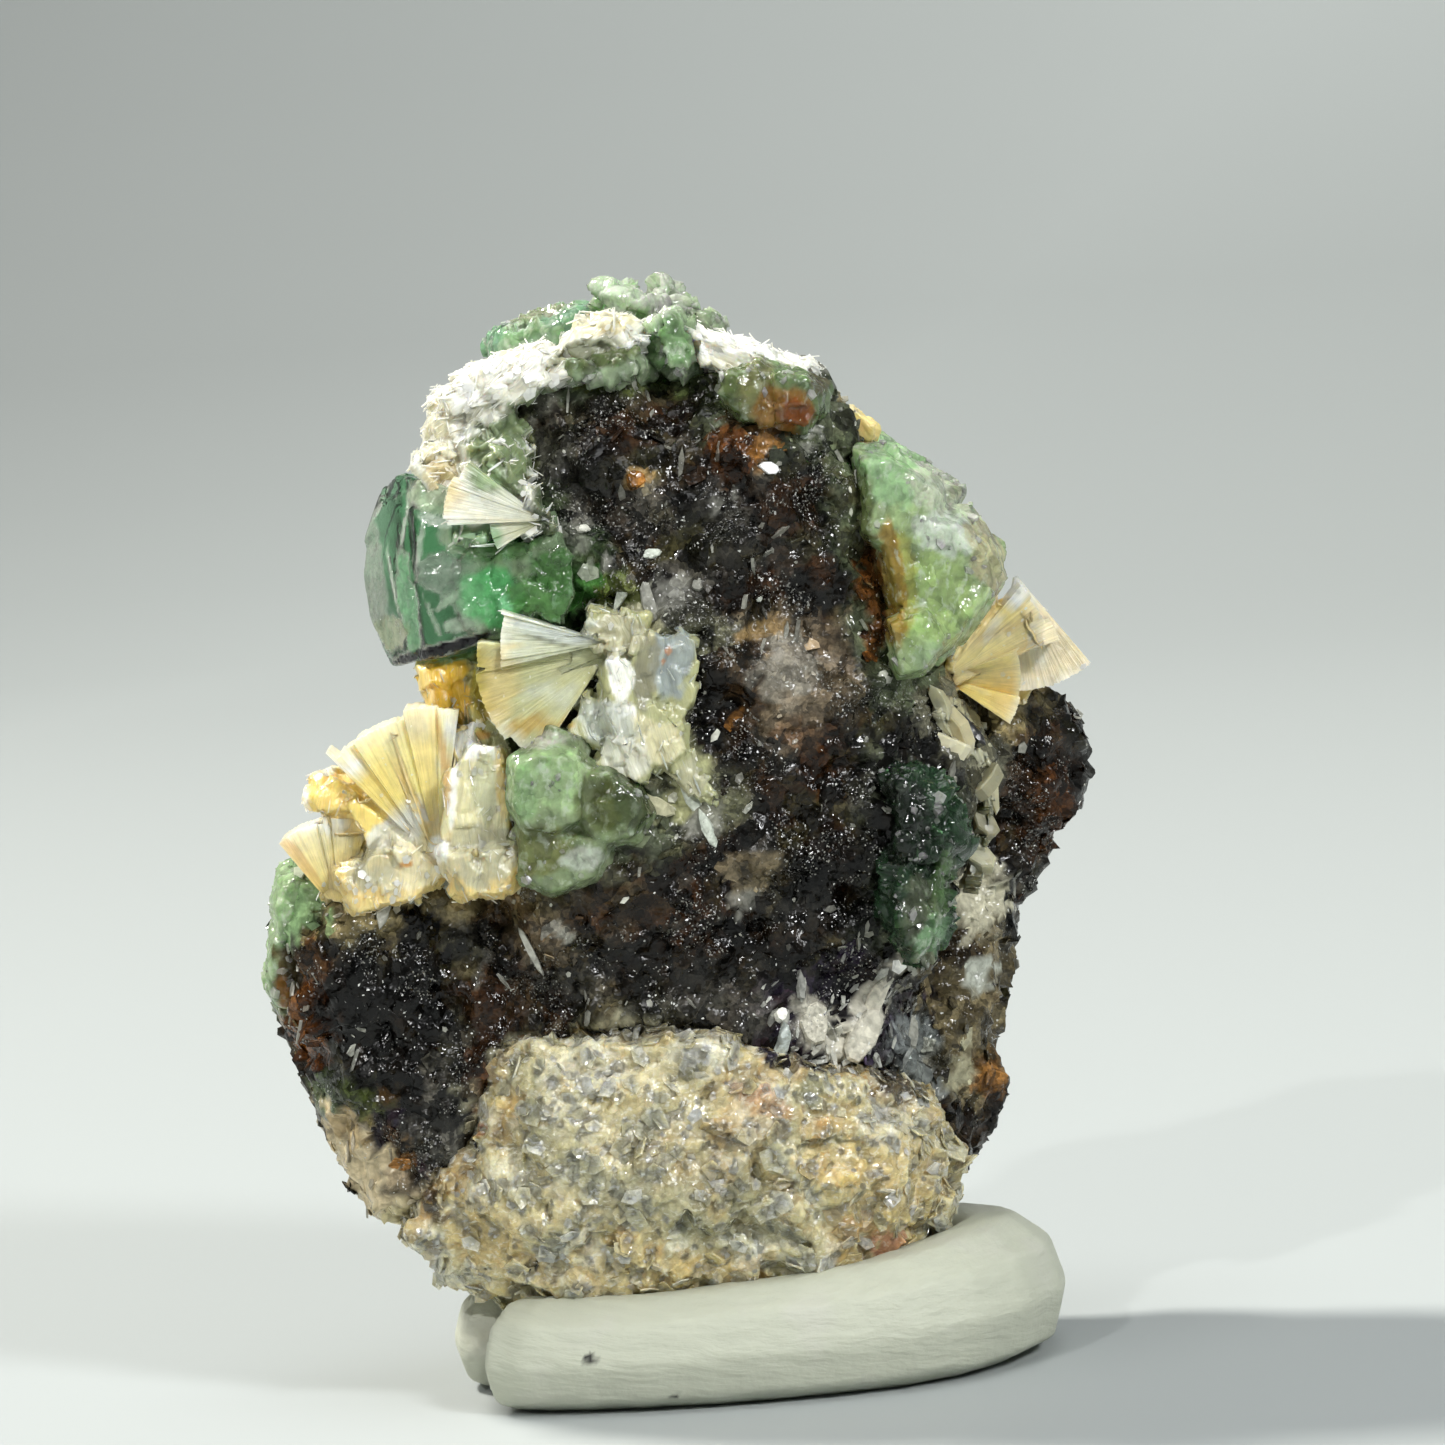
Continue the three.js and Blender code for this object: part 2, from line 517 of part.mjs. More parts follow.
// Upper left: a fibrous crust along the edge, the curved book with its horn, and the feather fan.
function muscoviteUpperLeft(grow) {
  const lowEdge = [
    [-10.9, 37.0], [-10.7, 38.8], [-10.3, 40.0], [-8.8, 40.6],
    [-8.2, 38.6], [-9.2, 36.8], [-10.4, 36.3],
  ];
  const midEdge = [[-10.4, 39.8], [-8.8, 41.0], [-6.8, 41.6], [-6.2, 40.2], [-7.6, 38.8], [-9.2, 38.6]];
  const highEdge = [[-7.2, 41.5], [-5.2, 41.5], [-4.4, 40.6], [-6.0, 39.8], [-7.4, 40.2]];
  const book = [[-5.4, 41.4], [-4.6, 42.3], [-3.2, 42.7], [-2.2, 42.2], [-2.8, 41.0], [-4.6, 40.7]];
  const horn = [[-3.2, 41.9], [-2.6, 42.4], [-1.6, 41.5], [-2.6, 41.2]];
  const grains = [[-9.4, 38.2], [-7.6, 38.6], [-6.6, 37.2], [-7.4, 35.8], [-9.3, 36.4]];
  const feather = { apex: [-6.0, -6.4, 34.7], along: [-1, 0, 0.55], across: [-0.55, 0, -1] };
  return together([
    chunk({ outline: lowEdge, front: -4.6, back: 0.4 }, grow),
    chunk({ outline: midEdge, front: -4.8, back: 0.8 }, grow),
    chunk({ outline: highEdge, front: -5.0, back: 0 }, grow),
    chunk({ outline: book, front: -4.8, back: -1.0 }, grow),
    chunk({ outline: horn, front: -5.0, back: -3.2 }, grow),
    chunk({ outline: grains, front: -5.8, back: -3.0 }, grow),
    fan({ ...feather, from: -30, to: 32, reach: 4.0, thick: 1.5, leaves: 5, seed: 7 }, grow),
  ]);
}

function muscoviteTop(grow) {
  const streak = [[-0.3, 42.0], [1.0, 41.5], [2.9, 40.8], [2.6, 39.9], [1.2, 39.8], [0.2, 40.2]];
  const tip = [[2.4, 40.9], [4.4, 40.2], [4.9, 39.8], [3.8, 39.4], [2.2, 39.8]];
  return together([
    chunk({ outline: streak, front: -4.4, back: 0.6 }, grow),
    chunk({ outline: tip, front: -3.8, back: 0.2, lean: 0.2 }, grow),
  ]);
}

// Right: three golden fans that open upwards, each further back than the one before.
function muscoviteRightFans(grow) {
  const near = { apex: [9.0, 0.6, 26.6], along: [0.72, 0, 1], across: [1, 0, -0.72] };
  const outer = { apex: [11.4, 2.6, 25.4], along: [0.5, 0, 1], across: [1, 0, -0.5] };
  const far = { apex: [9.6, 5.2, 26.4], along: [0.6, 0.3, 1], across: [1, 0, -0.6] };
  return together([
    fan({ ...near, from: -14, to: 34, reach: 4.8, thick: 3.2, leaves: 6, seed: 8 }, grow),
    fan({ ...outer, from: -24, to: 30, reach: 4.1, thick: 3.0, leaves: 6, seed: 9 }, grow),
    fan({ ...far, from: -22, to: 24, reach: 3.8, thick: 2.8, leaves: 5, seed: 10 }, grow),
  ]);
}

function muscoviteRightPlates(grow) {
  const high = [[8.0, 26.6], [9.2, 26.5], [10.6, 24.9], [9.9, 23.4], [8.4, 24.6]];
  const middle = [[9.4, 25.0], [10.7, 24.6], [11.0, 23.0], [10.7, 21.8], [9.8, 22.2]];
  const low = [[10.0, 22.6], [10.9, 22.4], [10.3, 19.9], [9.2, 18.4], [9.6, 20.4]];
  return together([
    chunk({ outline: high, front: -3.6, back: 1.0, lean: 0.6 }, grow),
    chunk({ outline: middle, front: -2.4, back: 1.6, lean: 0.4 }, grow),
    chunk({ outline: low, front: -2.6, back: 1.2, lean: 0.4 }, grow),
  ]);
}

function muscoviteSmallBook(grow) {
  const outline = [[5.4, 38.3], [6.2, 38.2], [7.1, 37.2], [6.8, 36.6], [5.6, 37.2]];
  return chunk({ outline, front: -0.6, back: 2.2, taper: 0.9 }, grow);
}

// The roll: a ball drawn out along its middle line, with round ends, pressed flat underneath.
function tackRoll() {
  const middleLine = new THREE.CatmullRomCurve3(TACK_LINE.map(({ x, y }) => new THREE.Vector3(x, y, 0)));
  const thickness = new THREE.CatmullRomCurve3(
    TACK_LINE.map(({ wide, high }, i) => new THREE.Vector3(wide, high, i)),
  );
  const endShare = TACK_END_LENGTH / middleLine.getLength();
  const roll = new THREE.SphereGeometry(1, 10, 26);
  const { position } = roll.attributes;
  for (let i = 0; i < position.count; i++) {
    const point = new THREE.Vector3().fromBufferAttribute(position, i);
    const along = Math.acos(THREE.MathUtils.clamp(point.y, -1, 1)) / Math.PI;
    const toEnd = Math.min(along / endShare, (1 - along) / endShare, 1);
    const plump = Math.sqrt(1 - (1 - toEnd) ** 2);
    const around = new THREE.Vector2(point.x, point.z).normalize().multiplyScalar(plump);
    const middle = middleLine.getPoint(along);
    const { x: wide, y: high } = thickness.getPoint(along);
    const heading = middleLine.getTangent(along);
    const out = new THREE.Vector3(-heading.y, heading.x, 0).multiplyScalar((around.x * wide) / 2);
    const lift = (high / 2) * (1 + around.y);
    const pressed = Math.max(0, lift * (1 + TACK_PRESS) - TACK_PRESS * high);
    position.setXYZ(i, middle.x + out.x, middle.y + out.y, pressed);
  }
  return solid(roll);
}

// The tack under the specimen fills the middle of the ring, and torn tags stand at its back end.
function puttyRing() {
  const { at, reach, height } = TACK_FLOOR;
  const floor = new THREE.CylinderGeometry(1, 1, height, 20)
    .rotateX(Math.PI / 2)
    .scale(...reach, 1)
    .translate(...at, height / 2);
  const tags = TACK_TAGS.map((tag) =>
    solid(new THREE.IcosahedronGeometry(1, 1).scale(...tag.reach).translate(...tag.at)),
  );
  return together([tackRoll(), solid(floor), ...tags]);
}

const PIECES = [
  { name: "granular_base", build: granularFoot, finish: FINISHES.granular },
  { name: "mica_rock", build: micaRock, finish: FINISHES.darkMica },
  { name: "muscovite_centre_fan", build: muscoviteCentreFan, finish: FINISHES.greenishMuscovite },
  { name: "muscovite_left_fans", build: muscoviteLeftFans, finish: FINISHES.goldenMuscovite },
  { name: "muscovite_upper_left", build: muscoviteUpperLeft, finish: FINISHES.whiteMuscovite },
  { name: "muscovite_top", build: muscoviteTop, finish: FINISHES.whiteMuscovite },
  { name: "muscovite_right_fans", build: muscoviteRightFans, finish: FINISHES.goldenMuscovite },
  { name: "muscovite_right_plates", build: muscoviteRightPlates, finish: FINISHES.whiteMuscovite },
  { name: "muscovite_small_book", build: muscoviteSmallBook, finish: FINISHES.goldenMuscovite },
  { name: "fluorite_left", build: fluoriteLeft, finish: FINISHES.clearFluorite },
  { name: "fluorite_top", build: fluoriteTop, finish: FINISHES.greenFluorite },
  { name: "fluorite_top_left", build: fluoriteTopLeft, finish: FINISHES.greenFluorite },
  { name: "fluorite_top_right", build: fluoriteTopRight, finish: FINISHES.greenFluorite },
  { name: "fluorite_right", build: fluoriteRight, finish: FINISHES.greenFluorite },
  { name: "fluorite_middle", build: fluoriteMiddle, finish: FINISHES.greenFluorite },
  { name: "fluorite_left_edge", build: fluoriteLeftEdge, finish: FINISHES.greenFluorite },
  { name: "fluorite_right_edge", build: fluoriteRightEdge, finish: FINISHES.greenFluorite },
  { name: "putty_ring", build: puttyRing, finish: FINISHES.tack },
];

// A body with its neighbours taken out of it, without the chips that this leaves loose.
function fitted(body, neighbours) {
  const cut = neighbours.reduce((rest, neighbour) => rest.subtract(neighbour), body);
  return cut.decompose().sort((a, b) => b.volume() - a.volume())[0];
}

function meshOf(name, body, finish) {
  const { vertProperties, triVerts } = body.getMesh();
  const geometry = new THREE.BufferGeometry()
    .setAttribute("position", new THREE.BufferAttribute(vertProperties, 3))
    .setIndex(new THREE.BufferAttribute(triVerts, 1));
  const material = new THREE.MeshStandardMaterial({ ...finish, flatShading: true });
  const mesh = new THREE.Mesh(geometry, material);
  mesh.name = name;
  return mesh;
}

// Each piece is fitted to the pieces before it, grown by the gap that is kept between them.
const specimen = new THREE.Group();
const grown = [];
for (const { name, build, finish } of PIECES) {
  specimen.add(meshOf(name, fitted(build(0), grown), finish));
  grown.push(build(GAP));
}
specimen.position.copy(STANDING_SHIFT);

export default specimen;
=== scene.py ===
# The looks of a fluorite on muscovite specimen in its tack, made round the solids of its frame.
# Shapes are worked out in millimetres, with +Z up and the display side facing -Y, and put down in metres.
import itertools
import math
from collections import namedtuple

import bpy
import numpy as np
from mathutils import Matrix, Vector
from mathutils.bvhtree import BVHTree


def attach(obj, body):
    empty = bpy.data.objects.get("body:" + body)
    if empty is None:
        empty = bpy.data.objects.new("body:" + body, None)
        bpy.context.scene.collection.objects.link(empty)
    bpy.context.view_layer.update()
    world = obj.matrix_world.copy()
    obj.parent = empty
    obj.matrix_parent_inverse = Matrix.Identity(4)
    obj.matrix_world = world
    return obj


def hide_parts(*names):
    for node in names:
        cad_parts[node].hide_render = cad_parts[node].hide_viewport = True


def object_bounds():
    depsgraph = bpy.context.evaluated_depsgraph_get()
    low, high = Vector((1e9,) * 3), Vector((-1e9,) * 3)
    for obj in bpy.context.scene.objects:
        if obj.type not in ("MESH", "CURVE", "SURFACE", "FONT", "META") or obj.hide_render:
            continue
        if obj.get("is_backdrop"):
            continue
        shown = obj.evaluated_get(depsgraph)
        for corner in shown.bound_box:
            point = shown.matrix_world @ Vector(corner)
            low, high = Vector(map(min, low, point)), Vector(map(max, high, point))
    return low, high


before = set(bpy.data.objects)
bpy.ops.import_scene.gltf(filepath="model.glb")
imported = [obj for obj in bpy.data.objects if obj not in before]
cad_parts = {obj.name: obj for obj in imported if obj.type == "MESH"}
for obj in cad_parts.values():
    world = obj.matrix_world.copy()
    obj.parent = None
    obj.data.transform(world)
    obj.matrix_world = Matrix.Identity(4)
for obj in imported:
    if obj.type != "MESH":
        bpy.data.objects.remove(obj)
cad_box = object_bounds()

MM = 0.001

# Camera: a long lens, 255 mm away, that looks down by 5 degrees and is rolled by 4.5 degrees.
CAMERA_TARGET = np.array([1.9, -0.4, 26.0])
CAMERA_DISTANCE = 255.0
CAMERA_TILT = math.radians(5.0)
CAMERA_ROLL = math.radians(4.5)
CAMERA_FRAME_WIDTH = 57.8
CAMERA_SENSOR = 36.0
CAMERA_NEAR = 10.0

# Colours as sRGB numbers.
BLACK_MICA = 0x0A0908
BROWN_MICA = 0x2A1C10
OLIVE_MICA = 0x2E2C1A
GREY_MICA = 0x42403A
RUST = 0x44270F
ORANGE_BROWN = 0x805626
TAN = 0xA88C5C
MAUVE_GREY = 0x6A5D4A
PURPLE_BLACK = 0x1E1824
PALE_GREY = 0x9A9A90
SILK_WHITE = 0xE4E3D2
WHITE = 0xF2F1E6
CREAM = 0xE0D8B2
YELLOW_CREAM = 0xD6BC78
GREENISH_CREAM = 0xAFB083
GREY_CREAM = 0xB5B294
SILVER = 0xC2C8BC
GREY_BLUE = 0xB4BCB8
GOLD = 0xF8D97C
DEEP_YELLOW = 0xE2B42C
PALE_GOLD = 0xEAD08A
AMBER_TAN = 0xC79350
OCHRE = 0xB8912F
OLIVE_YELLOW = 0xA09238
OLIVE_GREEN = 0x5B6230
MOSS = 0x363F1C
PALE_GREEN = 0xA9C295
MID_GREEN = 0x7F9F62
LEAF_GREEN = 0x4F8440
BLUE_GREEN = 0x93BC92
TEAL = 0x86AB8C
DARK_GREEN = 0x27402A
AMBER = 0xB27520
DARK_AMBER = 0x57300C
YELLOW_GREEN = 0xA6A855
QUARTZ_GREY = 0x8C8A72
SALMON = 0xBE8A66
PINK = 0xBE8468
BRICK = 0x8E3A1E
BLADE_WHITE = 0xC6C2B2
TACK_GREY = 0xB5B8A7
FOOT_CREAM = 0xCABF95
FOOT_YELLOW = 0xCAB37A
FOOT_WHITE = 0xD6D1B8
FOOT_GREY = 0x9B9777
FROST_GREY = 0xA2A29A
PAINTED_GLINT_WHITE = 0xE6E7E2
WISP_CREAM = 0xE9E6D4
FOOT_GLINT_WHITE = 0xF4F1E2
VEIL_GREEN = 0xD9E6D0
SUGAR_WHITE = 0xEEF3E8
STREAK_GREEN = 0xA6CBAA
DUST_BROWN = 0x94866A
SAGE = 0x86A674
DARK_BROWN = 0x3E2814
GREY_OLIVE = 0x6E7F5A
SAND = 0xD0C09C
MUD = 0x6C6248
CHALK = 0xC9C5AC
BLADE_GREY = 0xB8B9B0
BUTTER = 0xF2DC9C
WEDGE_CREAM = 0xD8D4AC
DULL_CREAM = 0xBFC09C
DRY_GRASS = 0xCBC890
DULL_SAGE = 0xB9BC9A
PALE_SAGE = 0xCCCFB6
SLATE = 0x9AA3A0
FERN = 0x6E8056
DEEP_FERN = 0x5E7048
MINT = 0x86A87E
DARK_FERN = 0x4C5A3A
PEACH = 0xEBD9B4
PAINTED_LIGHT_GOLD = 0xFFEBAC
STRAW = 0xB9B08C
OAT = 0xCDC6A6
HAY = 0xA9A27E
REED = 0xB0AA88
LICHEN = 0x8F8C70
FLAX = 0xBDB898
SHALE = 0x8A866A
SUMMIT_GREEN = 0xA9BD98
PALE_MINT = 0xC6D4BC
ASH = 0xB4B6AC
KHAKI = 0x8F8B5C
CARAMEL = 0xA4702C
CINNAMON = 0x8A3F12
APPLE = 0xA9BF8B
SPRING_GREEN = 0xA9CF9C
CELADON = 0xCBD3BA
LIME = 0xA4BE78
HIGHLIGHT_GREEN = 0xD4DFCE
BRONZE = 0xA07A2C
BONE = 0xCCC49C
DULL_GREEN = 0x93A47C
PEAR = 0xB2CE98
MELON = 0xA3C48E
DRAB = 0x7E8450
CHESTNUT = 0x4E3212
JADE = 0x8FB98A
PAINTED_GLOW_EMERALD = 0x4FB266
PAINTED_GLOW_MINT = 0x8FDBA0
FOREST = 0x3F6A34
PAINTED_REFLECTION_PINE = 0x2E4E3C
GLINT = 0xE6F0E4
DEEP_EMERALD = 0x35A05A
PALE_GLINT = 0xDDE9DC
SPRUCE = 0x2C5C3C
SOFT_MINT = 0xA9CDA8
DRY_OLIVE = 0x9C9C5E
INK = 0x0C080E
GRASS = 0x5F8A4A
TACK_PALE = 0xB9B9AE


def linear(srgb):
    """The linear colour of an sRGB number."""
    parts = np.array([(srgb >> 16) & 255, (srgb >> 8) & 255, srgb & 255]) / 255
    return np.where(parts <= 0.04045, parts / 12.92, ((parts + 0.055) / 1.055) ** 2.4)


# Noise. A size is a number, or one number for each axis, in millimetres.
MIXING = ((np.uint64(0xBF58476D1CE4E5B9), np.uint64(31)), (np.uint64(0x94D049BB133111EB), np.uint64(29)))


def chance(seed, cells):
    """A repeatable random number from 0 to 1 for each row of whole numbers."""
    mixed = np.full(len(cells), seed, np.uint64)
    for axis in range(cells.shape[1]):
        mixed ^= cells[:, axis].astype(np.int64).astype(np.uint64) + (mixed << np.uint64(6))
        for factor, shift in MIXING:
            mixed *= factor
            mixed ^= mixed >> shift
    return (mixed >> np.uint64(11)) / 2.0**53


def swells(points, size, seed):
    """Smooth noise from -1 to 1."""
    scaled = points / np.asarray(size, float)
    cell = np.floor(scaled)
    part = scaled - cell
    ease = part * part * (3 - 2 * part)
    total = np.zeros(len(points))
    for corner in itertools.product((0, 1), repeat=3):
        weight = np.prod(np.where(corner, ease, 1 - ease), axis=1)
        total += weight * chance(seed, cell + corner)
    return 2 * total - 1


def rough(points, size, seed, layers=3):
    """Smooth noise from -1 to 1 with finer noise on it."""
    total = sum(swells(points, np.asarray(size) / 2**i, seed + i) / 2**i for i in range(layers))
    return total / sum(0.5**i for i in range(layers))


def grains(points, size, seed):
    """The grain that each point is in, as whole numbers, and its way from the grain's middle in grains."""
    scaled = points / np.asarray(size, float)
    home = np.floor(scaled)
    nearest = np.full(len(points), np.inf)
    cell = np.zeros_like(home)
    away = np.zeros_like(home)
    for step in itertools.product((-1, 0, 1), repeat=3):
        there = home + step
        middle = there + np.stack([chance(seed + axis, there) for axis in range(3)], axis=1)
        offset = scaled - middle
        distance = np.einsum("ij,ij->i", offset, offset)
        closer = distance < nearest
        nearest[closer] = distance[closer]
        cell[closer] = there[closer]
        away[closer] = offset[closer]
    return cell, away


def facets(points, size, tilt, step, seed):
    """Height of flat grains that each lean their own way and stand at their own level."""
    cell, away = grains(points, size, seed)
    lean = np.stack([chance(seed + 10 + axis, cell) for axis in range(3)], axis=1) - 0.5
    level = chance(seed + 20, cell) - 0.5
    return size * (2 * tilt * np.einsum("ij,ij->i", away, lean) + step * level)


def unit(vectors):
    """Vectors made one long."""
    return vectors / np.linalg.norm(vectors, axis=-1, keepdims=True)


def ramp(start, end, value):
    """Goes smoothly from 0 at start to 1 at end."""
    share = np.clip((value - start) / (end - start), 0, 1)
    return share * share * (3 - 2 * share)


# Meshes in the making.
SHORTEST = 1e-12


class Skin:
    """Closed surfaces of quads: points in millimetres with a colour each, and which quads are smooth."""

    def __init__(self, points, quads, tint):
        self.points = points
        self.quads = quads
        self.smooth = np.ones(len(quads), bool)
        self.tint = np.tile(linear(tint), (len(points), 1))
        self.refresh()

    def refresh(self):
        """Works out the normals afresh."""
        corners = self.points[self.quads]
        face = np.cross(corners[:, 2] - corners[:, 0], corners[:, 3] - corners[:, 1])
        total = np.zeros_like(self.points)
        for corner in range(4):
            np.add.at(total, self.quads[:, corner], face)
        length = np.linalg.norm(total, axis=1, keepdims=True)
        self.normals = total / np.maximum(length, SHORTEST)

    def push(self, height):
        """Moves each point along its normal."""
        self.points = self.points + self.normals * np.asarray(height)[:, None]
        self.refresh()

    def blend(self, colour, share):
        """Lays a colour over the colours so far."""
        target = linear(colour) if isinstance(colour, int) else colour
        self.tint += np.asarray(share)[:, None] * (target - self.tint)

    def join(self, points, quads, tint):
        """Takes in a closed shape with flat faces."""
        self.quads = np.concatenate([self.quads, quads + len(self.points)])
        self.points = np.concatenate([self.points, points])
        self.tint = np.concatenate([self.tint, tint])
        self.smooth = np.concatenate([self.smooth, np.zeros(len(quads), bool)])
        self.refresh()


def points_of(mesh):
    """A mesh's points as rows."""
    points = np.empty(len(mesh.vertices) * 3)
    mesh.vertices.foreach_get("co", points)
    return points.reshape(-1, 3)


def solid_of(node):
    """A frame node's points in millimetres and its faces."""
    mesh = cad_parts[node].data
    return points_of(mesh) / MM, [tuple(polygon.vertices) for polygon in mesh.polygons]


# A rough block of mica or crystal: its middle, its sides, and its turn in degrees about Y.
Lump = namedtuple("Lump", "x y z wide deep high turn", defaults=(0,))


def lump_solid(lump):
    """A lump's points and faces."""
    turn = math.radians(lump.turn)
    along = np.array([math.cos(turn), 0.0, math.sin(turn)])
    up = np.array([-math.sin(turn), 0.0, math.cos(turn)])
    points = np.array([
        np.array([lump.x, lump.y, lump.z])
        + x * lump.wide / 2 * along
        + y * lump.deep / 2 * np.array([0.0, 1.0, 0.0])
        + z * lump.high / 2 * up
        for x, y, z in itertools.product((-1, 1), repeat=3)
    ])
    faces = [(0, 1, 3, 2), (4, 6, 7, 5), (0, 4, 5, 1), (2, 3, 7, 6), (0, 2, 6, 4), (1, 5, 7, 3)]
    return points, faces


def joined(solids):
    """The points and faces of several solids, and the number of the solid that each face is from."""
    points = []
    faces = []
    owners = []
    for number, (solid_points, solid_faces) in enumerate(solids):
        faces += [[len(points) + i for i in face] for face in solid_faces]
        owners += [number] * len(solid_faces)
        points += solid_points.tolist()
    return points, faces, owners


def voxel_skin(solids, voxel, smoothing, tint):
    """One closed skin round all the given solids."""
    points, faces, _ = joined(solids)
    mesh = bpy.data.meshes.new("solids")
    mesh.from_pydata(points, [], faces)
    holder = bpy.data.objects.new("solids", mesh)
    bpy.context.scene.collection.objects.link(holder)
    remesh = holder.modifiers.new("Remesh", "REMESH")
    remesh.mode = "VOXEL"
    remesh.voxel_size = voxel
    smooth = holder.modifiers.new("Smooth", "SMOOTH")
    smooth.factor = 0.5
    smooth.iterations = smoothing
    shown = holder.evaluated_get(bpy.context.evaluated_depsgraph_get())
    skin = shown.to_mesh()
    corners = np.empty(len(skin.loops), np.int32)
    skin.loops.foreach_get("vertex_index", corners)
    made = Skin(points_of(skin), corners.reshape(-1, 4), tint)
    shown.to_mesh_clear()
    bpy.data.objects.remove(holder)
    bpy.data.meshes.remove(mesh)
    return made


def ring(sides):
    """The angles of the points in a ring, and the quads from one ring to the next."""
    around = np.arange(sides)
    after = (around + 1) % sides
    return 2 * math.pi * around / sides, np.stack([around, after, sides + after, sides + around], axis=1)


def edge_of(points, nodes, reach):
    """How far each point is from the nearest of some frame nodes, up to a reach, and which node that is."""
    corners, faces, owners = joined([solid_of(name) for name in nodes])
    tree = BVHTree.FromPolygons(corners, faces)
    distance = np.full(len(points), float(reach))
    nearest = np.zeros(len(points), int)
    for i, point in enumerate(points.tolist()):
        _, _, face, away = tree.find_nearest(point, reach)
        if face is not None:
            distance[i] = away
            nearest[i] = owners[face]
    return distance, nearest


# Small flat plates, half sunk in a skin.
Flakes = namedtuple("Flakes", "points sides tint")
FLAKE_SIDES = 5
FLAKE_EDGE = (0.75, 1.1)
SMALL_FLAKES = 2.5
NEEDLE_SPREAD = 0.3
OWN_COLOUR = (0.3, 1.0)
BRIGHTEST_FLAKE = 0.92
BROAD = (0.5, 1.0)
NARROW = (0.05, 0.12)


def scatter_flakes(
    skin, count, size, tilt, seed, weight=None, colour=None, shade=0.35, thick=0.12, lift=0.0,
    narrow=BROAD, way=None,
):
    """Small mica plates that lie in a skin and take its colour, or lean towards one of their own.
    Narrow ones that all go one way are needles."""
    rng = np.random.default_rng(seed)
    corners = skin.points[skin.quads]
    share = np.linalg.norm(np.cross(corners[:, 2] - corners[:, 0], corners[:, 3] - corners[:, 1]), axis=1)
    if weight is not None:
        share *= weight[skin.quads].mean(axis=1)
    chosen = rng.choice(len(skin.quads), count, p=share / share.sum())
    middle = np.einsum("nij,ni->nj", corners[chosen], rng.dirichlet(np.ones(4), count))
    home = skin.quads[chosen, 0]
    up = unit(skin.normals[home] + tilt * rng.normal(size=(count, 3)))
    heading = rng.normal(size=(count, 3))
    if way is not None:
        heading = np.cross(np.array(way) + NEEDLE_SPREAD * heading, up)
    side = unit(np.cross(up, heading))
    other = np.cross(up, side)
    reach = size[0] + (size[1] - size[0]) * rng.random(count) ** SMALL_FLAKES
    slim = rng.uniform(*narrow, count)
    middle += skin.normals[home] * (lift * reach)[:, None]
    turn, band = ring(FLAKE_SIDES)
    radius = reach[:, None] * rng.uniform(*FLAKE_EDGE, (count, FLAKE_SIDES)) / 2
    flat = (
        middle[:, None]
        + side[:, None] * (radius * np.cos(turn))[..., None]
        + other[:, None] * (radius * slim[:, None] * np.sin(turn))[..., None]
    )
    rise = up[:, None] * (thick * reach / 2)[:, None, None]
    points = np.concatenate([flat + rise, flat - rise], axis=1).reshape(-1, 3)
    start = 2 * FLAKE_SIDES * np.arange(count)[:, None]
    around = np.arange(FLAKE_SIDES)
    top = (start + around).tolist()
    bottom = (start + FLAKE_SIDES + around[::-1]).tolist()
    walls = (start[:, None] + band[:, [0, 3, 2, 1]]).reshape(-1, 4).tolist()
    tint = skin.tint[home] * np.exp(shade * rng.normal(size=(count, 1)))
    if colour is not None:
        tint += rng.uniform(*OWN_COLOUR, (count, 1)) * (linear(colour) - tint)
    tint = np.repeat(np.clip(tint, 0, BRIGHTEST_FLAKE), 2 * FLAKE_SIDES, axis=0)
    return Flakes(points, top + bottom + walls, tint)


def put_down(name, skin, flakes, material, slot, node, vectors=None):
    """Makes the piece from its skin and flakes, in metres, in place of a frame node."""
    points = np.concatenate([skin.points] + [one.points for one in flakes])
    tint = np.concatenate([skin.tint] + [one.tint for one in flakes])
    faces = skin.quads.tolist()
    smooth = skin.smooth.tolist()
    start = len(skin.points)
    for one in flakes:
        faces += [[start + i for i in side] for side in one.sides]
        smooth += [False] * len(one.sides)
        start += len(one.points)
    mesh = bpy.data.meshes.new(name)
    mesh.from_pydata((points * MM).tolist(), [], faces)
    mesh.polygons.foreach_set("use_smooth", smooth)
    colours = mesh.color_attributes.new("tint", "FLOAT_COLOR", "POINT")
    colours.data.foreach_set("color", np.column_stack([tint, np.ones(len(tint))]).ravel())
    for label, values in (vectors or {}).items():
        attribute = mesh.attributes.new(label, "FLOAT_VECTOR", "POINT")
        spare = np.zeros((len(points) - len(values), 3))
        attribute.data.foreach_set("vector", np.concatenate([values, spare]).ravel())
    mesh.materials.append(material)
    piece = bpy.data.objects.new(name, mesh)
    bpy.context.scene.collection.objects.link(piece)
    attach(piece, "root")
    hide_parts(node)


# Plates laid on a skin, seen from the display side: middle, half length,
# half width, turn in degrees, thickness.
Plate = namedtuple("Plate", "colour x z long wide turn thick", defaults=(0.12,))
PLATE_SIDES = 8
PLATE_ROOT = 0.5
PLATE_LEAN = np.array([0.0, -0.6, 0.15])
PLATE_SPREAD = 0.12
PLATE_EDGE = (0.82, 1.12)


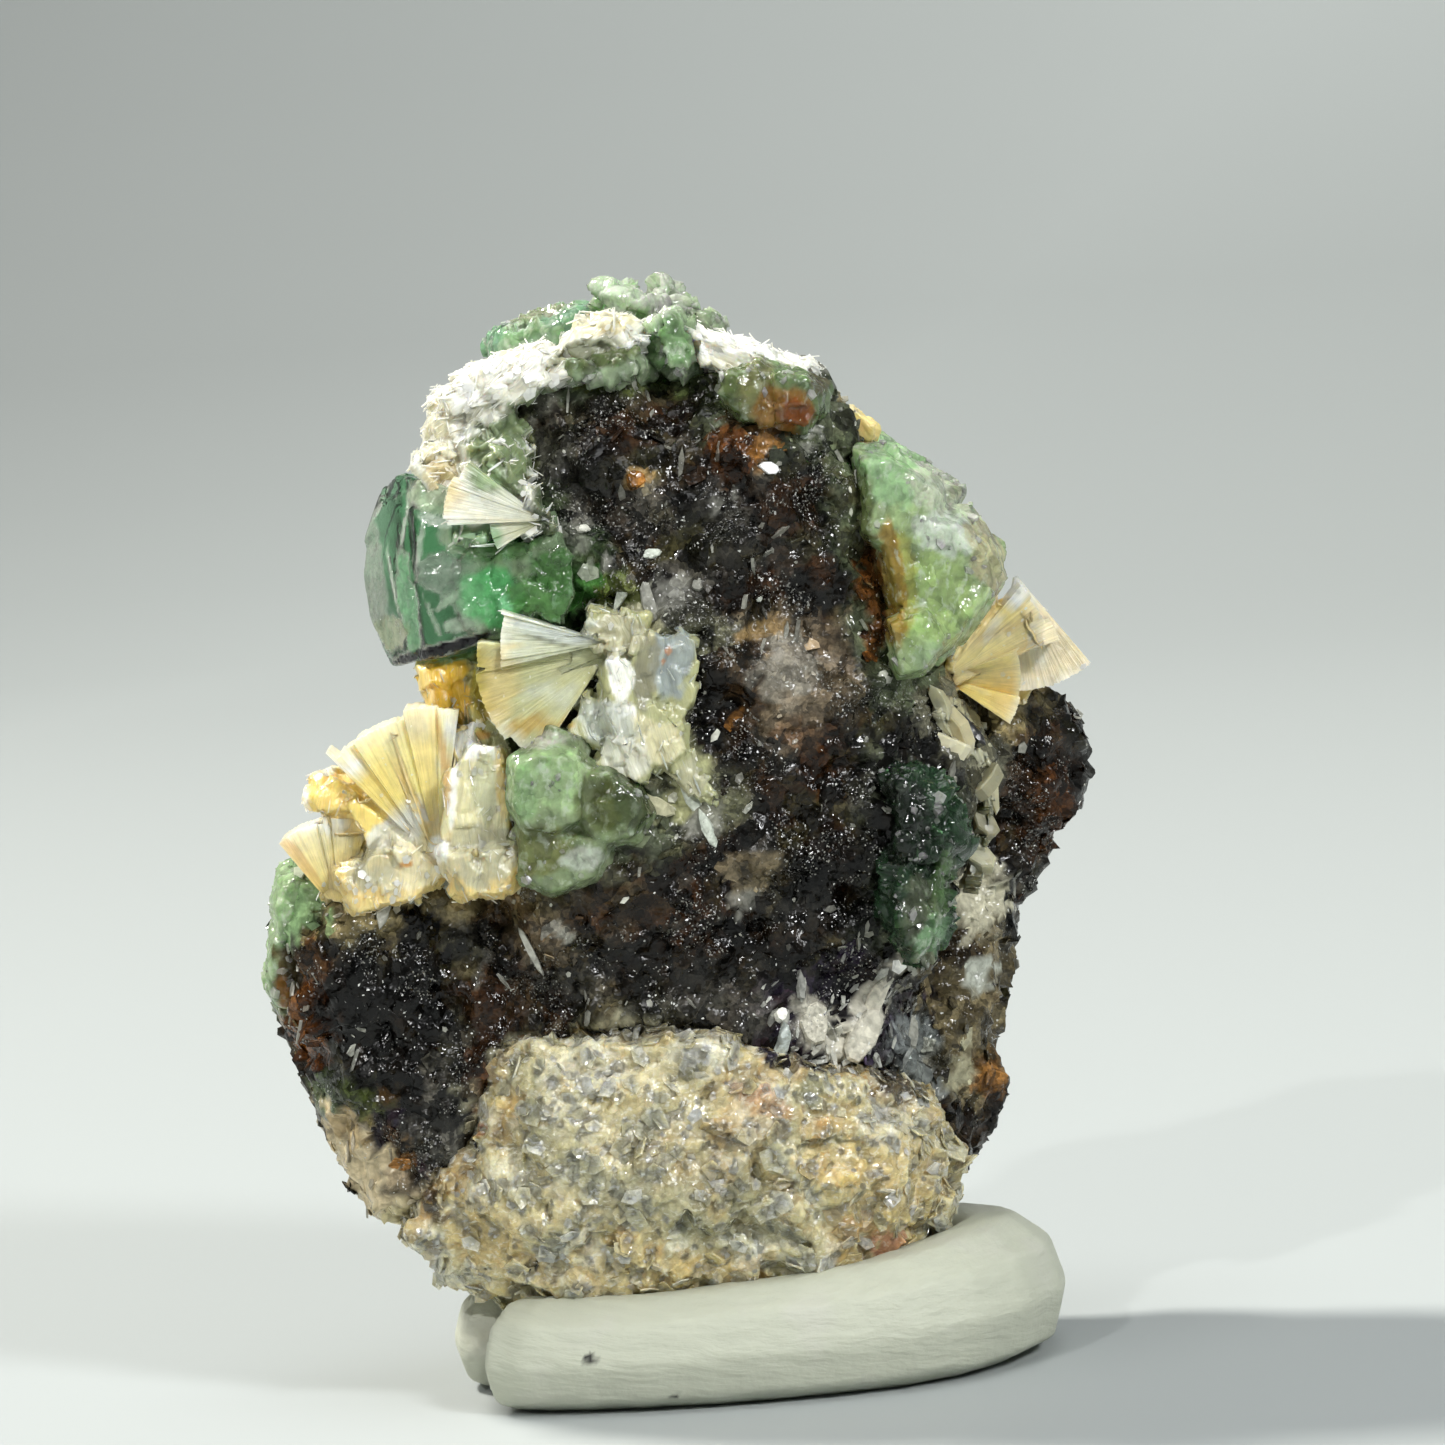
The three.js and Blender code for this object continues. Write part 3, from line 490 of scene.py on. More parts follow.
def lay_plates(skin, plates, seed):
    """Joins irregular plates to a skin, where a look from the display side meets it."""
    rng = np.random.default_rng(seed)
    tree = BVHTree.FromPolygons(skin.points.tolist(), skin.quads.tolist())
    turn, band = ring(PLATE_SIDES)
    lid = [
        [3 * PLATE_SIDES] + [2 * PLATE_SIDES + (i + step) % PLATE_SIDES for step in range(3)]
        for i in range(0, PLATE_SIDES, 2)
    ]
    bottom = [
        [3 * PLATE_SIDES + 1] + [(i - step) % PLATE_SIDES for step in range(3)]
        for i in range(0, PLATE_SIDES, 2)
    ]
    quads = np.concatenate([band, PLATE_SIDES + band, lid, bottom])
    for row in plates:
        plate = Plate(*row)
        hit, normal, _, _ = tree.ray_cast((plate.x, -50.0, plate.z), (0.0, 1.0, 0.0))
        if hit is None:
            continue
        up = unit(0.5 * np.array(normal) + PLATE_LEAN + PLATE_SPREAD * rng.normal(size=3))
        angle = math.radians(plate.turn)
        side = np.array([math.cos(angle), 0.0, math.sin(angle)])
        side = unit(side - up * (side @ up))
        other = np.cross(up, side)
        radius = rng.uniform(*PLATE_EDGE, PLATE_SIDES)
        flat = (
            side * (plate.long * radius * np.cos(turn))[:, None]
            + other * (plate.wide * radius * np.sin(turn))[:, None]
        )
        middle = np.array(hit)
        rise = plate.thick * up
        points = np.concatenate([
            middle + 0.9 * flat - PLATE_ROOT * up,
            middle + flat + 0.4 * rise,
            middle + 0.88 * flat + rise,
            [middle + 1.1 * rise, middle - PLATE_ROOT * up],
        ])
        tint = linear(plate.colour) * np.exp(0.08 * rng.normal())
        skin.join(points, quads, np.tile(np.clip(tint, 0, 0.9), (len(points), 1)))


# Patches of colour, seen from the display side: middle, reach to each side, strength, turn in degrees.
Patch = namedtuple("Patch", "colour x z wide high share turn", defaults=(1.0, 0.0))


def patch_shares(skin, patches, wander, grain=0.0):
    """How much of each patch lies on each point, on the parts that face the display side.
    With a grain size, a grain is in a patch as a whole or not at all."""
    places = skin.points
    if grain:
        _, away = grains(places, grain, 341)
        places = places - grain * away
    drift = [rough(places, 0.9, seed) + 0.7 * swells(places, 0.3, seed + 10) for seed in (301, 321)]
    facing = ramp(0.45, -0.15, skin.normals[:, 1])
    for row in patches:
        patch = Patch(*row)
        across = places[:, 0] - patch.x
        up = places[:, 2] - patch.z
        turn = math.radians(patch.turn)
        along = (math.cos(turn) * across + math.sin(turn) * up) / patch.wide
        beside = (math.cos(turn) * up - math.sin(turn) * across) / patch.high
        distance = np.hypot(along + wander * drift[0], beside + wander * drift[1])
        yield patch, patch.share * ramp(1.12, 0.82, distance) * facing


def paint(skin, patches, wander=0.3, grain=0.0):
    """Lays patches with ragged edges over the parts of a skin that face the display side."""
    for patch, share in patch_shares(skin, patches, wander, grain):
        skin.blend(patch.colour, share)


# Shader graphs.
def node(tree, kind, inputs=None, **settings):
    """A new node. Each input takes a value, or a link from another node's output."""
    made = tree.nodes.new(kind)
    for name, value in settings.items():
        setattr(made, name, value)
    for key, value in (inputs or {}).items():
        if isinstance(value, bpy.types.NodeSocket):
            tree.links.new(value, made.inputs[key])
        else:
            made.inputs[key].default_value = value
    return made


def arithmetic(tree, operation, *values):
    return node(tree, "ShaderNodeMath", dict(enumerate(values)), operation=operation).outputs[0]


def times(tree, first, second):
    return arithmetic(tree, "MULTIPLY", first, second)


def plus(tree, first, second):
    return arithmetic(tree, "ADD", first, second)


def vector(tree, operation, *values):
    made = node(tree, "ShaderNodeVectorMath", dict(enumerate(values)), operation=operation)
    return made.outputs["Value" if operation == "DOT_PRODUCT" else "Vector"]


def remap(tree, value, low, high, new_low, new_high):
    inputs = {"Value": value, "From Min": low, "From Max": high, "To Min": new_low, "To Max": new_high}
    return node(tree, "ShaderNodeMapRange", inputs).outputs["Result"]


def stretched(tree, place, factors):
    """Coordinates times a factor for each axis. A small factor makes cells and noise long."""
    return vector(tree, "MULTIPLY", place, factors)


def between(tree, share, low, high):
    """Goes from low to high as a share goes from 0 to 1."""
    return remap(tree, share, 0.0, 1.0, low, high)


def mixed(tree, share, first, second, blend="MIX"):
    """Two colours mixed. The numbers are the colour inputs and output of the node."""
    inputs = {0: share, 6: first, 7: second}
    return node(tree, "ShaderNodeMix", inputs, data_type="RGBA", blend_type=blend).outputs[2]


def noise(tree, place, size, detail=3.0):
    """Noise of a size in millimetres."""
    inputs = {"Vector": place, "Scale": 1 / (size * MM), "Detail": detail}
    return node(tree, "ShaderNodeTexNoise", inputs).outputs["Fac"]


def mottle(tree, place, size, detail, noise_range, values):
    """Noise whose own range becomes a range of values."""
    return remap(tree, noise(tree, place, size, detail), *noise_range, *values)


def attribute(tree, name, output="Vector"):
    return node(tree, "ShaderNodeAttribute", attribute_name=name).outputs[output]


def parts_of(tree, colour):
    """The red, green and blue of a colour."""
    return node(tree, "ShaderNodeSeparateColor", {"Color": colour}).outputs


def cells(tree, place, size):
    """Cells of a size in millimetres, with a random colour and a middle each."""
    return node(tree, "ShaderNodeTexVoronoi", {"Vector": place, "Scale": 1 / (size * MM)}).outputs


def cell_values(tree, place, size):
    """Three random numbers for each cell."""
    return parts_of(tree, cells(tree, place, size)["Color"])


def facet_height(tree, place, size, lean):
    """Height in metres of flat facets of a size in millimetres that each lean their own way."""
    found = cells(tree, place, size)
    away = vector(tree, "SUBTRACT", place, found["Position"])
    way = vector(tree, "SUBTRACT", found["Color"], (0.5, 0.5, 0.5))
    return times(tree, vector(tree, "DOT_PRODUCT", away, way), lean)


def flecks(tree, place, size, density):
    """How strong a fleck is in the few cells that are one, and 0 elsewhere."""
    values = cell_values(tree, place, size)
    return times(tree, arithmetic(tree, "LESS_THAN", values[0], density), values[1])


def flecked(tree, body, place, size, density, strength, colour):
    """A body with flecks of a colour."""
    share = times(tree, flecks(tree, place, size, density), strength)
    return mixed(tree, share, body, rgba(colour))


def new_material(name):
    """An empty material, its node tree and its object coordinates."""
    material = bpy.data.materials.new(name)
    material.use_nodes = True
    tree = material.node_tree
    tree.nodes.clear()
    return material, tree, node(tree, "ShaderNodeTexCoord").outputs["Object"]


def rgba(colour):
    """The linear colour of an sRGB number, with its alpha."""
    return (*linear(colour), 1.0)


def warped(tree, place, size, reach):
    """Coordinates that wander by up to a reach in millimetres, so that cells get ragged edges."""
    inputs = {"Vector": place, "Scale": 1 / (size * MM), "Detail": 2.0}
    drift = node(tree, "ShaderNodeTexNoise", inputs).outputs["Color"]
    centred = vector(tree, "SUBTRACT", drift, (0.5, 0.5, 0.5))
    away = vector(tree, "MULTIPLY", centred, (2 * reach * MM,) * 3)
    return vector(tree, "ADD", place, away)


def lit(tree, colour, *factors):
    """A colour made lighter or darker by each factor in turn."""
    for factor in factors:
        grey = node(tree, "ShaderNodeCombineColor", {0: factor, 1: factor, 2: factor}).outputs[0]
        colour = mixed(tree, 1.0, colour, grey, "MULTIPLY")
    return colour


def finished(material, body, roughness, height=None, others=None, volume=None):
    """The material with its shader: colour, roughness, bump from a height in metres, and other inputs."""
    tree = material.node_tree
    inputs = {"Base Color": body, "Roughness": roughness, **(others or {})}
    if height is not None:
        bump = node(tree, "ShaderNodeBump", {"Strength": 1.0, "Distance": 1.0, "Height": height})
        inputs["Normal"] = bump.outputs["Normal"]
    shader = node(tree, "ShaderNodeBsdfPrincipled", inputs)
    out = node(tree, "ShaderNodeOutputMaterial", {"Surface": shader.outputs[0]})
    if volume is not None:
        tree.links.new(volume, out.inputs["Volume"])
    return material


def glow(weight, radius, scale):
    """Shader inputs for light that goes in by a scale in millimetres, by a share of it for each colour."""
    return {"Subsurface Weight": weight, "Subsurface Radius": radius, "Subsurface Scale": scale * MM}


MID_NOISE = (0.3, 0.7)
FIBRE_UNIT = 1 / MM
FLUORITE_IOR = 1.434


def dark_mica_material():
    """Black and brown mica that glitters: grains, tiny facets, frost, and white flecks that are painted
    glints.
    """
    material, tree, place = new_material("dark_mica_rock")
    loose = warped(tree, place, 0.5, 0.25)
    big = cell_values(tree, loose, 0.95)
    small = cell_values(tree, loose, 0.3)
    tint = attribute(tree, "tint", "Color")
    body = lit(
        tree,
        tint,
        between(tree, big[0], 0.12, 1.6),
        between(tree, small[1], 0.3, 1.6),
        mottle(tree, place, 0.14, 2.0, MID_NOISE, (0.6, 1.4)),
    )
    green = parts_of(tree, tint)[1]
    soft = lit(tree, tint, mottle(tree, loose, 0.3, 5.0, MID_NOISE, (0.7, 1.3)))
    body = mixed(tree, remap(tree, green, 0.05, 0.25, 0.0, 0.9), body, soft)
    dark = remap(tree, green, 0.005, 0.02, 0.7, 0.0)
    warm = times(tree, arithmetic(tree, "GREATER_THAN", big[1], 0.62), dark)
    body = mixed(tree, warm, body, (1.35, 0.95, 0.55, 1.0), "MULTIPLY")
    broken = mottle(tree, place, 2.2, 4.0, (0.52, 0.64), (0.0, 1.0))
    body = flecked(tree, body, place, 0.06, between(tree, broken, 0.0, 0.13), 0.8, FROST_GREY)
    # Painted glints: sparse white flecks that gather in drifts and are stretched three ways.
    drifts = mottle(tree, place, 1.1, 3.0, (0.54, 0.68), (0.0005, 0.012))
    for factors in ((1.0, 1.0, 0.45), (0.5, 1.0, 0.9), (0.7, 0.7, 0.7)):
        painted_glints = flecks(tree, stretched(tree, place, factors), 0.055, drifts)
        body = mixed(tree, painted_glints, body, rgba(PAINTED_GLINT_WHITE))
    crumbs = times(tree, facet_height(tree, place, 0.14, 1.1), broken)
    height = plus(tree, facet_height(tree, loose, 0.55, 0.55), crumbs)
    roughness = between(tree, small[0], 0.09, 0.32)
    return finished(material, body, roughness, height, {"IOR": 1.5, "Specular IOR Level": 0.25})


def granular_material():
    """Silky pale scales with grains of grey quartz, and sparse white flecks that are painted glints."""
    material, tree, place = new_material("granular_rock")
    loose = warped(tree, place, 0.4, 0.2)
    big = cell_values(tree, loose, 0.7)
    small = cell_values(tree, loose, 0.24)
    body = lit(
        tree,
        attribute(tree, "tint", "Color"),
        between(tree, big[0], 0.82, 1.14),
        between(tree, small[1], 0.86, 1.12),
        mottle(tree, loose, 0.22, 4.0, MID_NOISE, (0.87, 1.27)),
    )
    glassy = times(tree, arithmetic(tree, "GREATER_THAN", big[2], 0.8), 0.4)
    body = mixed(tree, glassy, body, (0.68, 0.69, 0.62, 1.0), "MULTIPLY")
    wisps = mottle(tree, stretched(tree, loose, (1.0, 1.0, 2.2)), 0.35, 5.0, (0.56, 0.66), (0.0, 0.5))
    body = mixed(tree, wisps, body, rgba(WISP_CREAM))
    # Painted glints: sparse white flecks.
    body = flecked(tree, body, place, 0.1, 0.012, 0.8, FOOT_GLINT_WHITE)
    height = plus(tree, facet_height(tree, loose, 0.7, 0.38), facet_height(tree, place, 0.18, 0.3))
    others = {"IOR": 1.56, **glow(0.7, (1.0, 0.85, 0.55), 1.0)}
    return finished(material, body, between(tree, small[0], 0.14, 0.4), height, others)


def mica_material(name, inner_light):
    """Pearly mica: fine fibres along the leaves, sparse white flecks that are painted glints, and light
    that goes a little way in.
    """
    material, tree, place = new_material(name)
    streaks = noise(tree, attribute(tree, "fibre"), FIBRE_UNIT)
    body = lit(
        tree,
        attribute(tree, "tint", "Color"),
        remap(tree, streaks, *MID_NOISE, 0.86, 1.1),
        mottle(tree, place, 0.5, 3.0, MID_NOISE, (0.88, 1.1)),
    )
    # Painted glints: sparse white flecks.
    body = flecked(tree, body, place, 0.09, 0.012, 0.6, WHITE)
    height = plus(tree, times(tree, streaks, 0.05 * MM), facet_height(tree, place, 0.25, 0.2))
    others = {
        "IOR": 1.58, "Coat Weight": 0.25, "Coat Roughness": 0.2,
        **glow(inner_light, (1.0, 0.75, 0.35), 1.2),
    }
    return finished(material, body, 0.3, height, others)


def green_fluorite_material():
    """Cloudy green crystal with a glassy, sugary surface."""
    material, tree, place = new_material("green_fluorite")
    loose = warped(tree, place, 0.5, 0.25)
    big = cell_values(tree, loose, 0.9)
    tint = attribute(tree, "tint", "Color")
    body = lit(
        tree,
        tint,
        between(tree, big[0], 0.8, 1.2),
        mottle(tree, loose, 0.5, 5.0, MID_NOISE, (0.62, 1.4)),
    )
    veils = mottle(tree, stretched(tree, loose, (1.6, 1.6, 1.0)), 0.6, 6.0, (0.54, 0.7), (0.0, 0.75))
    veils = times(tree, veils, remap(tree, parts_of(tree, tint)[1], 0.06, 0.35, 0.08, 1.0))
    body = mixed(tree, veils, body, rgba(VEIL_GREEN))
    sugar = mottle(tree, place, 1.3, 3.0, (0.52, 0.72), (0.002, 0.08))
    body = flecked(tree, body, place, 0.085, sugar, 0.6, SUGAR_WHITE)
    upright = facet_height(tree, stretched(tree, loose, (1.0, 1.0, 0.3)), 0.25, 0.22)
    height = plus(tree, facet_height(tree, loose, 0.9, 0.35), upright)
    others = {"IOR": FLUORITE_IOR, "Transmission Weight": 0.4, **glow(0.5, (0.6, 1.0, 0.5), 1.5)}
    return finished(material, body, 0.16, height, others)


def clear_fluorite_material():
    """Clear deep green crystal that lets less light through at its cloudy places and at its painted
    highlights, reflections and glow.
    """
    material, tree, place = new_material("clear_fluorite")
    loose = warped(tree, place, 0.6, 0.3)
    cloud_and_painted_light = node(tree, "ShaderNodeSeparateXYZ", {"Vector": attribute(tree, "cloud_and_painted_light")}).outputs[0]
    speckle = mottle(tree, place, 0.4, 3.0, (0.35, 0.65), (0.75, 1.15))
    streaks = mottle(tree, stretched(tree, loose, (1.0, 1.0, 0.22)), 0.45, 4.0, (0.6, 0.72), (0.0, 0.4))
    dense = arithmetic(tree, "MINIMUM", times(tree, cloud_and_painted_light, speckle), 1.0)
    dense = arithmetic(tree, "MAXIMUM", dense, streaks)
    sharp = times(tree, facet_height(tree, loose, 0.35, 0.5), cloud_and_painted_light)
    height = plus(tree, facet_height(tree, loose, 1.1, 0.05), sharp)
    body = mixed(tree, streaks, attribute(tree, "tint", "Color"), rgba(STREAK_GREEN))
    others = {"IOR": FLUORITE_IOR, "Transmission Weight": between(tree, dense, 1.0, 0.15)}
    depth = node(tree, "ShaderNodeVolumeAbsorption", {"Color": (0.16, 0.58, 0.31, 1.0), "Density": 290.0})
    return finished(material, body, between(tree, dense, 0.015, 0.2), height, others, depth.outputs[0])


def tack_material():
    """Matt grey-white putty with fine rolling marks along its length."""
    material, tree, place = new_material("mineral_tack")
    marks = noise(tree, attribute(tree, "fibre"), FIBRE_UNIT, 4.0)
    body = lit(tree, attribute(tree, "tint", "Color"), remap(tree, marks, *MID_NOISE, 0.96, 1.03))
    dents = times(tree, noise(tree, place, 0.4, 4.0), 0.04 * MM)
    height = plus(tree, times(tree, marks, 0.09 * MM), dents)
    return finished(material, body, 0.62, height, glow(0.15, (1.0, 0.95, 0.85), 0.8))


FLOOR_GREY = (0.295, 0.316, 0.314, 1.0)


def floor_material():
    """Pale grey with painted light and shade: darker towards the far left and at the front, lighter up the
    wall.
    """
    material, tree, place = new_material("floor")
    x, y, z = node(tree, "ShaderNodeSeparateXYZ", {"Vector": place}).outputs
    corner = arithmetic(tree, "SUBTRACT", y, times(tree, x, 1.6))
    shades = (
        remap(tree, corner, 0.45, 0.85, 1.2, 0.52),
        remap(tree, z, 0.03, 0.08, 1.0, 1.33),
        remap(tree, y, -0.6, -0.06, 0.45, 1.0),
    )
    return finished(material, lit(tree, FLOOR_GREY, *shades), 0.6)


# The dark rock.
ROCK_PATCHES = [
    # Summit and upper left.
    (OLIVE_GREEN, -1.8, 40.6, 2.2, 0.9, 0.8),
    (MOSS, 1.2, 39.9, 2.2, 0.8, 0.8, -10),
    (OLIVE_GREEN, -6.0, 38.0, 1.5, 2.2, 0.8),
    (GREENISH_CREAM, -6.4, 39.2, 0.9, 0.8, 0.6),
    (BROWN_MICA, -0.8, 38.9, 2.6, 0.8, 0.7),
    # Upper middle.
    (RUST, 3.1, 37.2, 0.8, 1.4),
    (ORANGE_BROWN, 4.6, 37.9, 0.4, 1.4, 0.7, -20),
    (TAN, -0.6, 36.2, 0.45, 0.4),
    (GREY_MICA, 2.2, 34.7, 1.1, 1.4, 0.6),
    (OLIVE_MICA, 1.2, 33.6, 1.2, 1.2, 0.9),
    (BROWN_MICA, 5.0, 34.6, 1.0, 1.2),
    (PALE_GREY, 2.8, 35.3, 0.5, 0.4, 0.5, 30),
    (PALE_GREY, 6.2, 37.4, 0.3, 0.5),
    (GREY_MICA, -0.4, 35.0, 1.2, 1.0, 0.5),
    (PALE_GREY, -3.6, 34.3, 0.7, 0.8, 0.5),
    (OLIVE_MICA, 8.0, 35.4, 0.9, 2.4, 0.9, -10),
    (DARK_AMBER, 8.2, 31.0, 0.7, 2.4, 0.9),
    # Greenish and grey stretch right of the clear crystal.
    (LEAF_GREEN, -3.2, 32.2, 1.7, 0.9, 0.8, -12),
    (OLIVE_GREEN, -1.6, 31.5, 1.2, 1.1, 0.9),
    (PALE_GREY, -2.6, 33.0, 1.2, 0.35, 0.6),
    (PALE_GREY, -0.9, 31.2, 0.5, 1.5, 0.6, -15),
    (GREY_MICA, 0.8, 32.0, 1.4, 1.2, 0.8),
    (PALE_GREY, 0.4, 31.7, 0.8, 0.7, 0.5),
    (GREY_CREAM, -1.1, 29.2, 0.9, 2.0, 0.8),
    # The mauve and brown middle, with painted shade that makes the gap beside it black.
    (MAUVE_GREY, 4.6, 27.9, 2.6, 2.8, 0.65),
    (BROWN_MICA, 2.6, 27.4, 1.0, 2.2, 0.8),
    (ORANGE_BROWN, 2.6, 27.1, 0.4, 0.4, 0.8),
    (PALE_GREY, 4.6, 28.4, 1.4, 1.1, 0.35, 20),
    (RUST, 5.0, 25.8, 1.2, 0.7, 0.5),
    (TAN, 3.6, 30.0, 0.8, 0.35, 0.5, 10),
    (BLACK_MICA, 1.4, 27.4, 0.7, 2.8, 1, -5),
    (GREENISH_CREAM, 0.3, 24.4, 0.7, 1.6, 0.8, -25),
    (PALE_GREY, 0.9, 22.9, 0.5, 0.9, 0.6, -20),
    (GREY_CREAM, -4.6, 34.2, 0.5, 0.6, 0.4),
    # Lower middle.
    (DUST_BROWN, 2.5, 20.8, 1.0, 0.9, 0.5),
    (PALE_GREY, 2.2, 19.6, 0.8, 0.4, 0.5, 20),
    (BLACK_MICA, 9.0, 22.0, 1.8, 4.0),
    (RUST, -5.2, 20.2, 3.0, 1.3, 0.55, 5),
    (BROWN_MICA, -2.0, 19.9, 2.4, 1.4, 0.8),
    (MAUVE_GREY, -5.9, 18.4, 1.5, 1.1, 0.6, -20),
    (PALE_GREY, -5.2, 18.9, 0.6, 0.4, 0.5),
    (BROWN_MICA, -7.2, 16.6, 1.8, 1.2, 0.8),
    (GREY_MICA, -4.2, 16.9, 1.6, 0.8, 0.7),
    (PALE_GREY, -3.9, 21.8, 0.9, 0.6),
    # Lower right: purple-black with pale blades.
    (PURPLE_BLACK, 5.6, 14.4, 3.2, 2.6),
    (GREY_MICA, 1.0, 15.8, 2.0, 1.4, 0.6, -20),
    (GREY_BLUE, 8.5, 12.1, 0.9, 1.8, 0.4, 20),
    (BLADE_WHITE, 6.1, 14.0, 2.6, 0.75, 0.9, 52),
    (BLADE_WHITE, 4.5, 14.5, 0.6, 1.2, 0.9, 10),
    (BLADE_WHITE, 8.3, 16.0, 0.25, 0.8, 0.8, -10),
    # Pale dust along the foot's upper edge.
    (GREY_CREAM, -7.2, 14.3, 1.5, 0.5, 0.6, 12),
    (GREY_CREAM, -3.2, 15.1, 2.2, 0.35, 0.5),
    (GREY_CREAM, -9.2, 12.4, 0.45, 1.3, 0.45, 15),
    (PALE_GREY, -10.2, 11.2, 0.4, 1.2, 0.4, 10),
    # Left edge of the slab, and painted shade that makes the groove beside it black.
    (RUST, -8.6, 12.8, 0.8, 1.6, 0.5, 10),
    (GREY_MICA, -10.4, 12.2, 0.8, 1.8, 0.8, 10),
    (BROWN_MICA, -8.4, 15.4, 0.8, 1.6),
    (BLACK_MICA, -10.7, 17.0, 1.0, 3.6),
    # Left lobe.
    (SAGE, -15.4, 20.6, 1.1, 1.8, 0.85),
    (DARK_BROWN, -14.9, 18.0, 0.8, 2.2, 0.9),
    (DARK_AMBER, -15.4, 15.6, 1.1, 1.9, 0.9),
    (MOSS, -13.9, 12.1, 1.2, 1.6, 0.7),
    (PURPLE_BLACK, -12.6, 11.5, 0.9, 0.7),
    (BLACK_MICA, -11.4, 14.4, 0.8, 2.6),
    (GREY_OLIVE, -15.0, 12.6, 0.6, 0.9, 0.45),
    (ORANGE_BROWN, -12.0, 10.0, 0.8, 0.9, 0.7),
    # The pale strip below the left lobe.
    (SAND, -13.1, 8.9, 3.9, 1.8, 0.95, -42),
    (TAN, -14.3, 11.4, 0.9, 0.8, 0.5),
    (FOOT_CREAM, -11.9, 7.2, 1.6, 1.3, 0.9),
    (BROWN_MICA, -12.2, 10.9, 0.7, 0.5, 0.9, -20),
    (BROWN_MICA, -12.0, 9.4, 0.8, 0.9, 0.7),
    # Painted shade: a purple-black spot in the pit.
    (PURPLE_BLACK, -11.3, 9.7, 0.3, 0.6, 0.9, 10),
    # Back-right lobes.
    (MUD, 11.2, 14.0, 2.0, 4.4, 0.75),
    (CHALK, 11.7, 17.8, 1.4, 1.6, 0.9),
    (BROWN_MICA, 10.6, 15.8, 0.9, 0.6, 0.7),
    (SILVER, 11.5, 14.8, 0.6, 0.8, 0.7),
    (GREY_CREAM, 10.4, 11.2, 0.6, 0.9, 0.7, -30),
    (BROWN_MICA, 14.5, 22.0, 1.6, 3.0, 0.8),
    (RUST, 15.2, 21.0, 0.9, 2.6, 0.6),
    (ORANGE_BROWN, 11.7, 10.6, 0.7, 0.9, 0.8),
    (BROWN_MICA, 10.8, 8.8, 1.0, 1.0, 0.7),
    # Black stretches.
    (BLACK_MICA, -12.8, 16.2, 1.9, 3.4, 0.95),
    (BLACK_MICA, -0.6, 17.4, 4.8, 1.1, 0.75, -5),
    (BLACK_MICA, -2.6, 36.8, 2.0, 2.4, 0.6),
    (BLACK_MICA, 5.4, 20.0, 2.2, 2.6, 0.6),
]
BLADES = Patch(BLADE_GREY, 5.4, 14.4, 2.9, 2.4)
ROCK_PLATES = [
    # Bright flakes on the upper part.
    (WHITE, 4.5, 36.3, 0.45, 0.25, -15),
    (SILVER, 6.0, 37.5, 0.3, 0.2, 70),
    (SILVER, -0.4, 33.3, 0.55, 0.2, 5),
    (PALE_GREY, 1.4, 32.0, 0.35, 0.25, 60),
    (ORANGE_BROWN, -0.7, 36.3, 0.4, 0.35, 20),
    (SILVER, 3.7, 31.2, 0.16, 0.1, 30),
    # Silvery leaves under the left fans and below the middle crystal.
    (SILVER, -12.4, 21.4, 1.0, 0.25, 60),
    (WHITE, -11.4, 21.3, 0.9, 0.15, 75),
    (SILVER, -10.5, 21.0, 1.0, 0.3, 50),
    (PALE_GREY, -11.9, 20.4, 0.9, 0.3, 80),
    (SILVER, -9.4, 20.9, 0.8, 0.3, 110),
    (WHITE, -7.3, 20.9, 0.9, 0.4, -15),
    (SILVER, -3.9, 21.6, 0.7, 0.5, 20),
    (PALE_GREY, -6.3, 18.2, 1.1, 0.14, -66),
    # Pale leaves round the grey plate in the middle.
    (GREY_CREAM, -0.2, 25.2, 1.2, 0.5, -50),
    (SILVER, 0.6, 23.8, 1.2, 0.4, -60),
    (GREY_CREAM, -0.9, 23.6, 0.9, 0.4, -30),
    (SILVER, 1.0, 22.6, 0.9, 0.25, -70),
    (SILVER, -1.6, 31.9, 0.9, 0.2, 60),
    (PALE_GREY, -0.6, 31.4, 1.1, 0.3, 100),
    # Pale blades on the lower right.
    (GREY_BLUE, 3.0, 13.4, 1.5, 0.32, 80, 0.3),
    (WHITE, 3.2, 14.9, 0.3, 0.25, 80, 0.4),
    (BLADE_WHITE, 4.6, 14.4, 1.0, 0.6, 80, 0.15),
    (BLADE_WHITE, 7.0, 15.0, 1.3, 0.4, 60, 0.15),
    (BLADE_WHITE, 6.4, 13.7, 1.3, 0.6, 50, 0.15),
    (SILVER, 5.6, 12.5, 1.0, 0.7, 40, 0.3),
    (PALE_GREY, 8.4, 13.0, 0.8, 0.3, 60, 0.2),
]
GRAIN_COLOURS = 4 * [BLACK_MICA] + 2 * [BROWN_MICA] + [OLIVE_MICA, GREY_MICA]
BACK_PATCH_SIZE = 5.0


def grain_tints(skin, size, colours, seed):
    """Gives each grain one of a few colours."""
    cell, _ = grains(skin.points, size, seed)
    palette = np.array([linear(colour) for colour in colours])
    return palette[(chance(seed + 5, cell) * len(colours)).astype(int)]


EDGE_REACH = 1.8
DRY_WHITE = 0xCFCFC2
EDGE_GREY = 0x70705F


def mineral_tints():
    """The colour of each crystal and mica node."""
    tints = {name: piece.tint for name, piece in {**MICAS, **CRYSTALS}.items()}
    tints["fluorite_left"] = LEAF_GREEN
    return tints


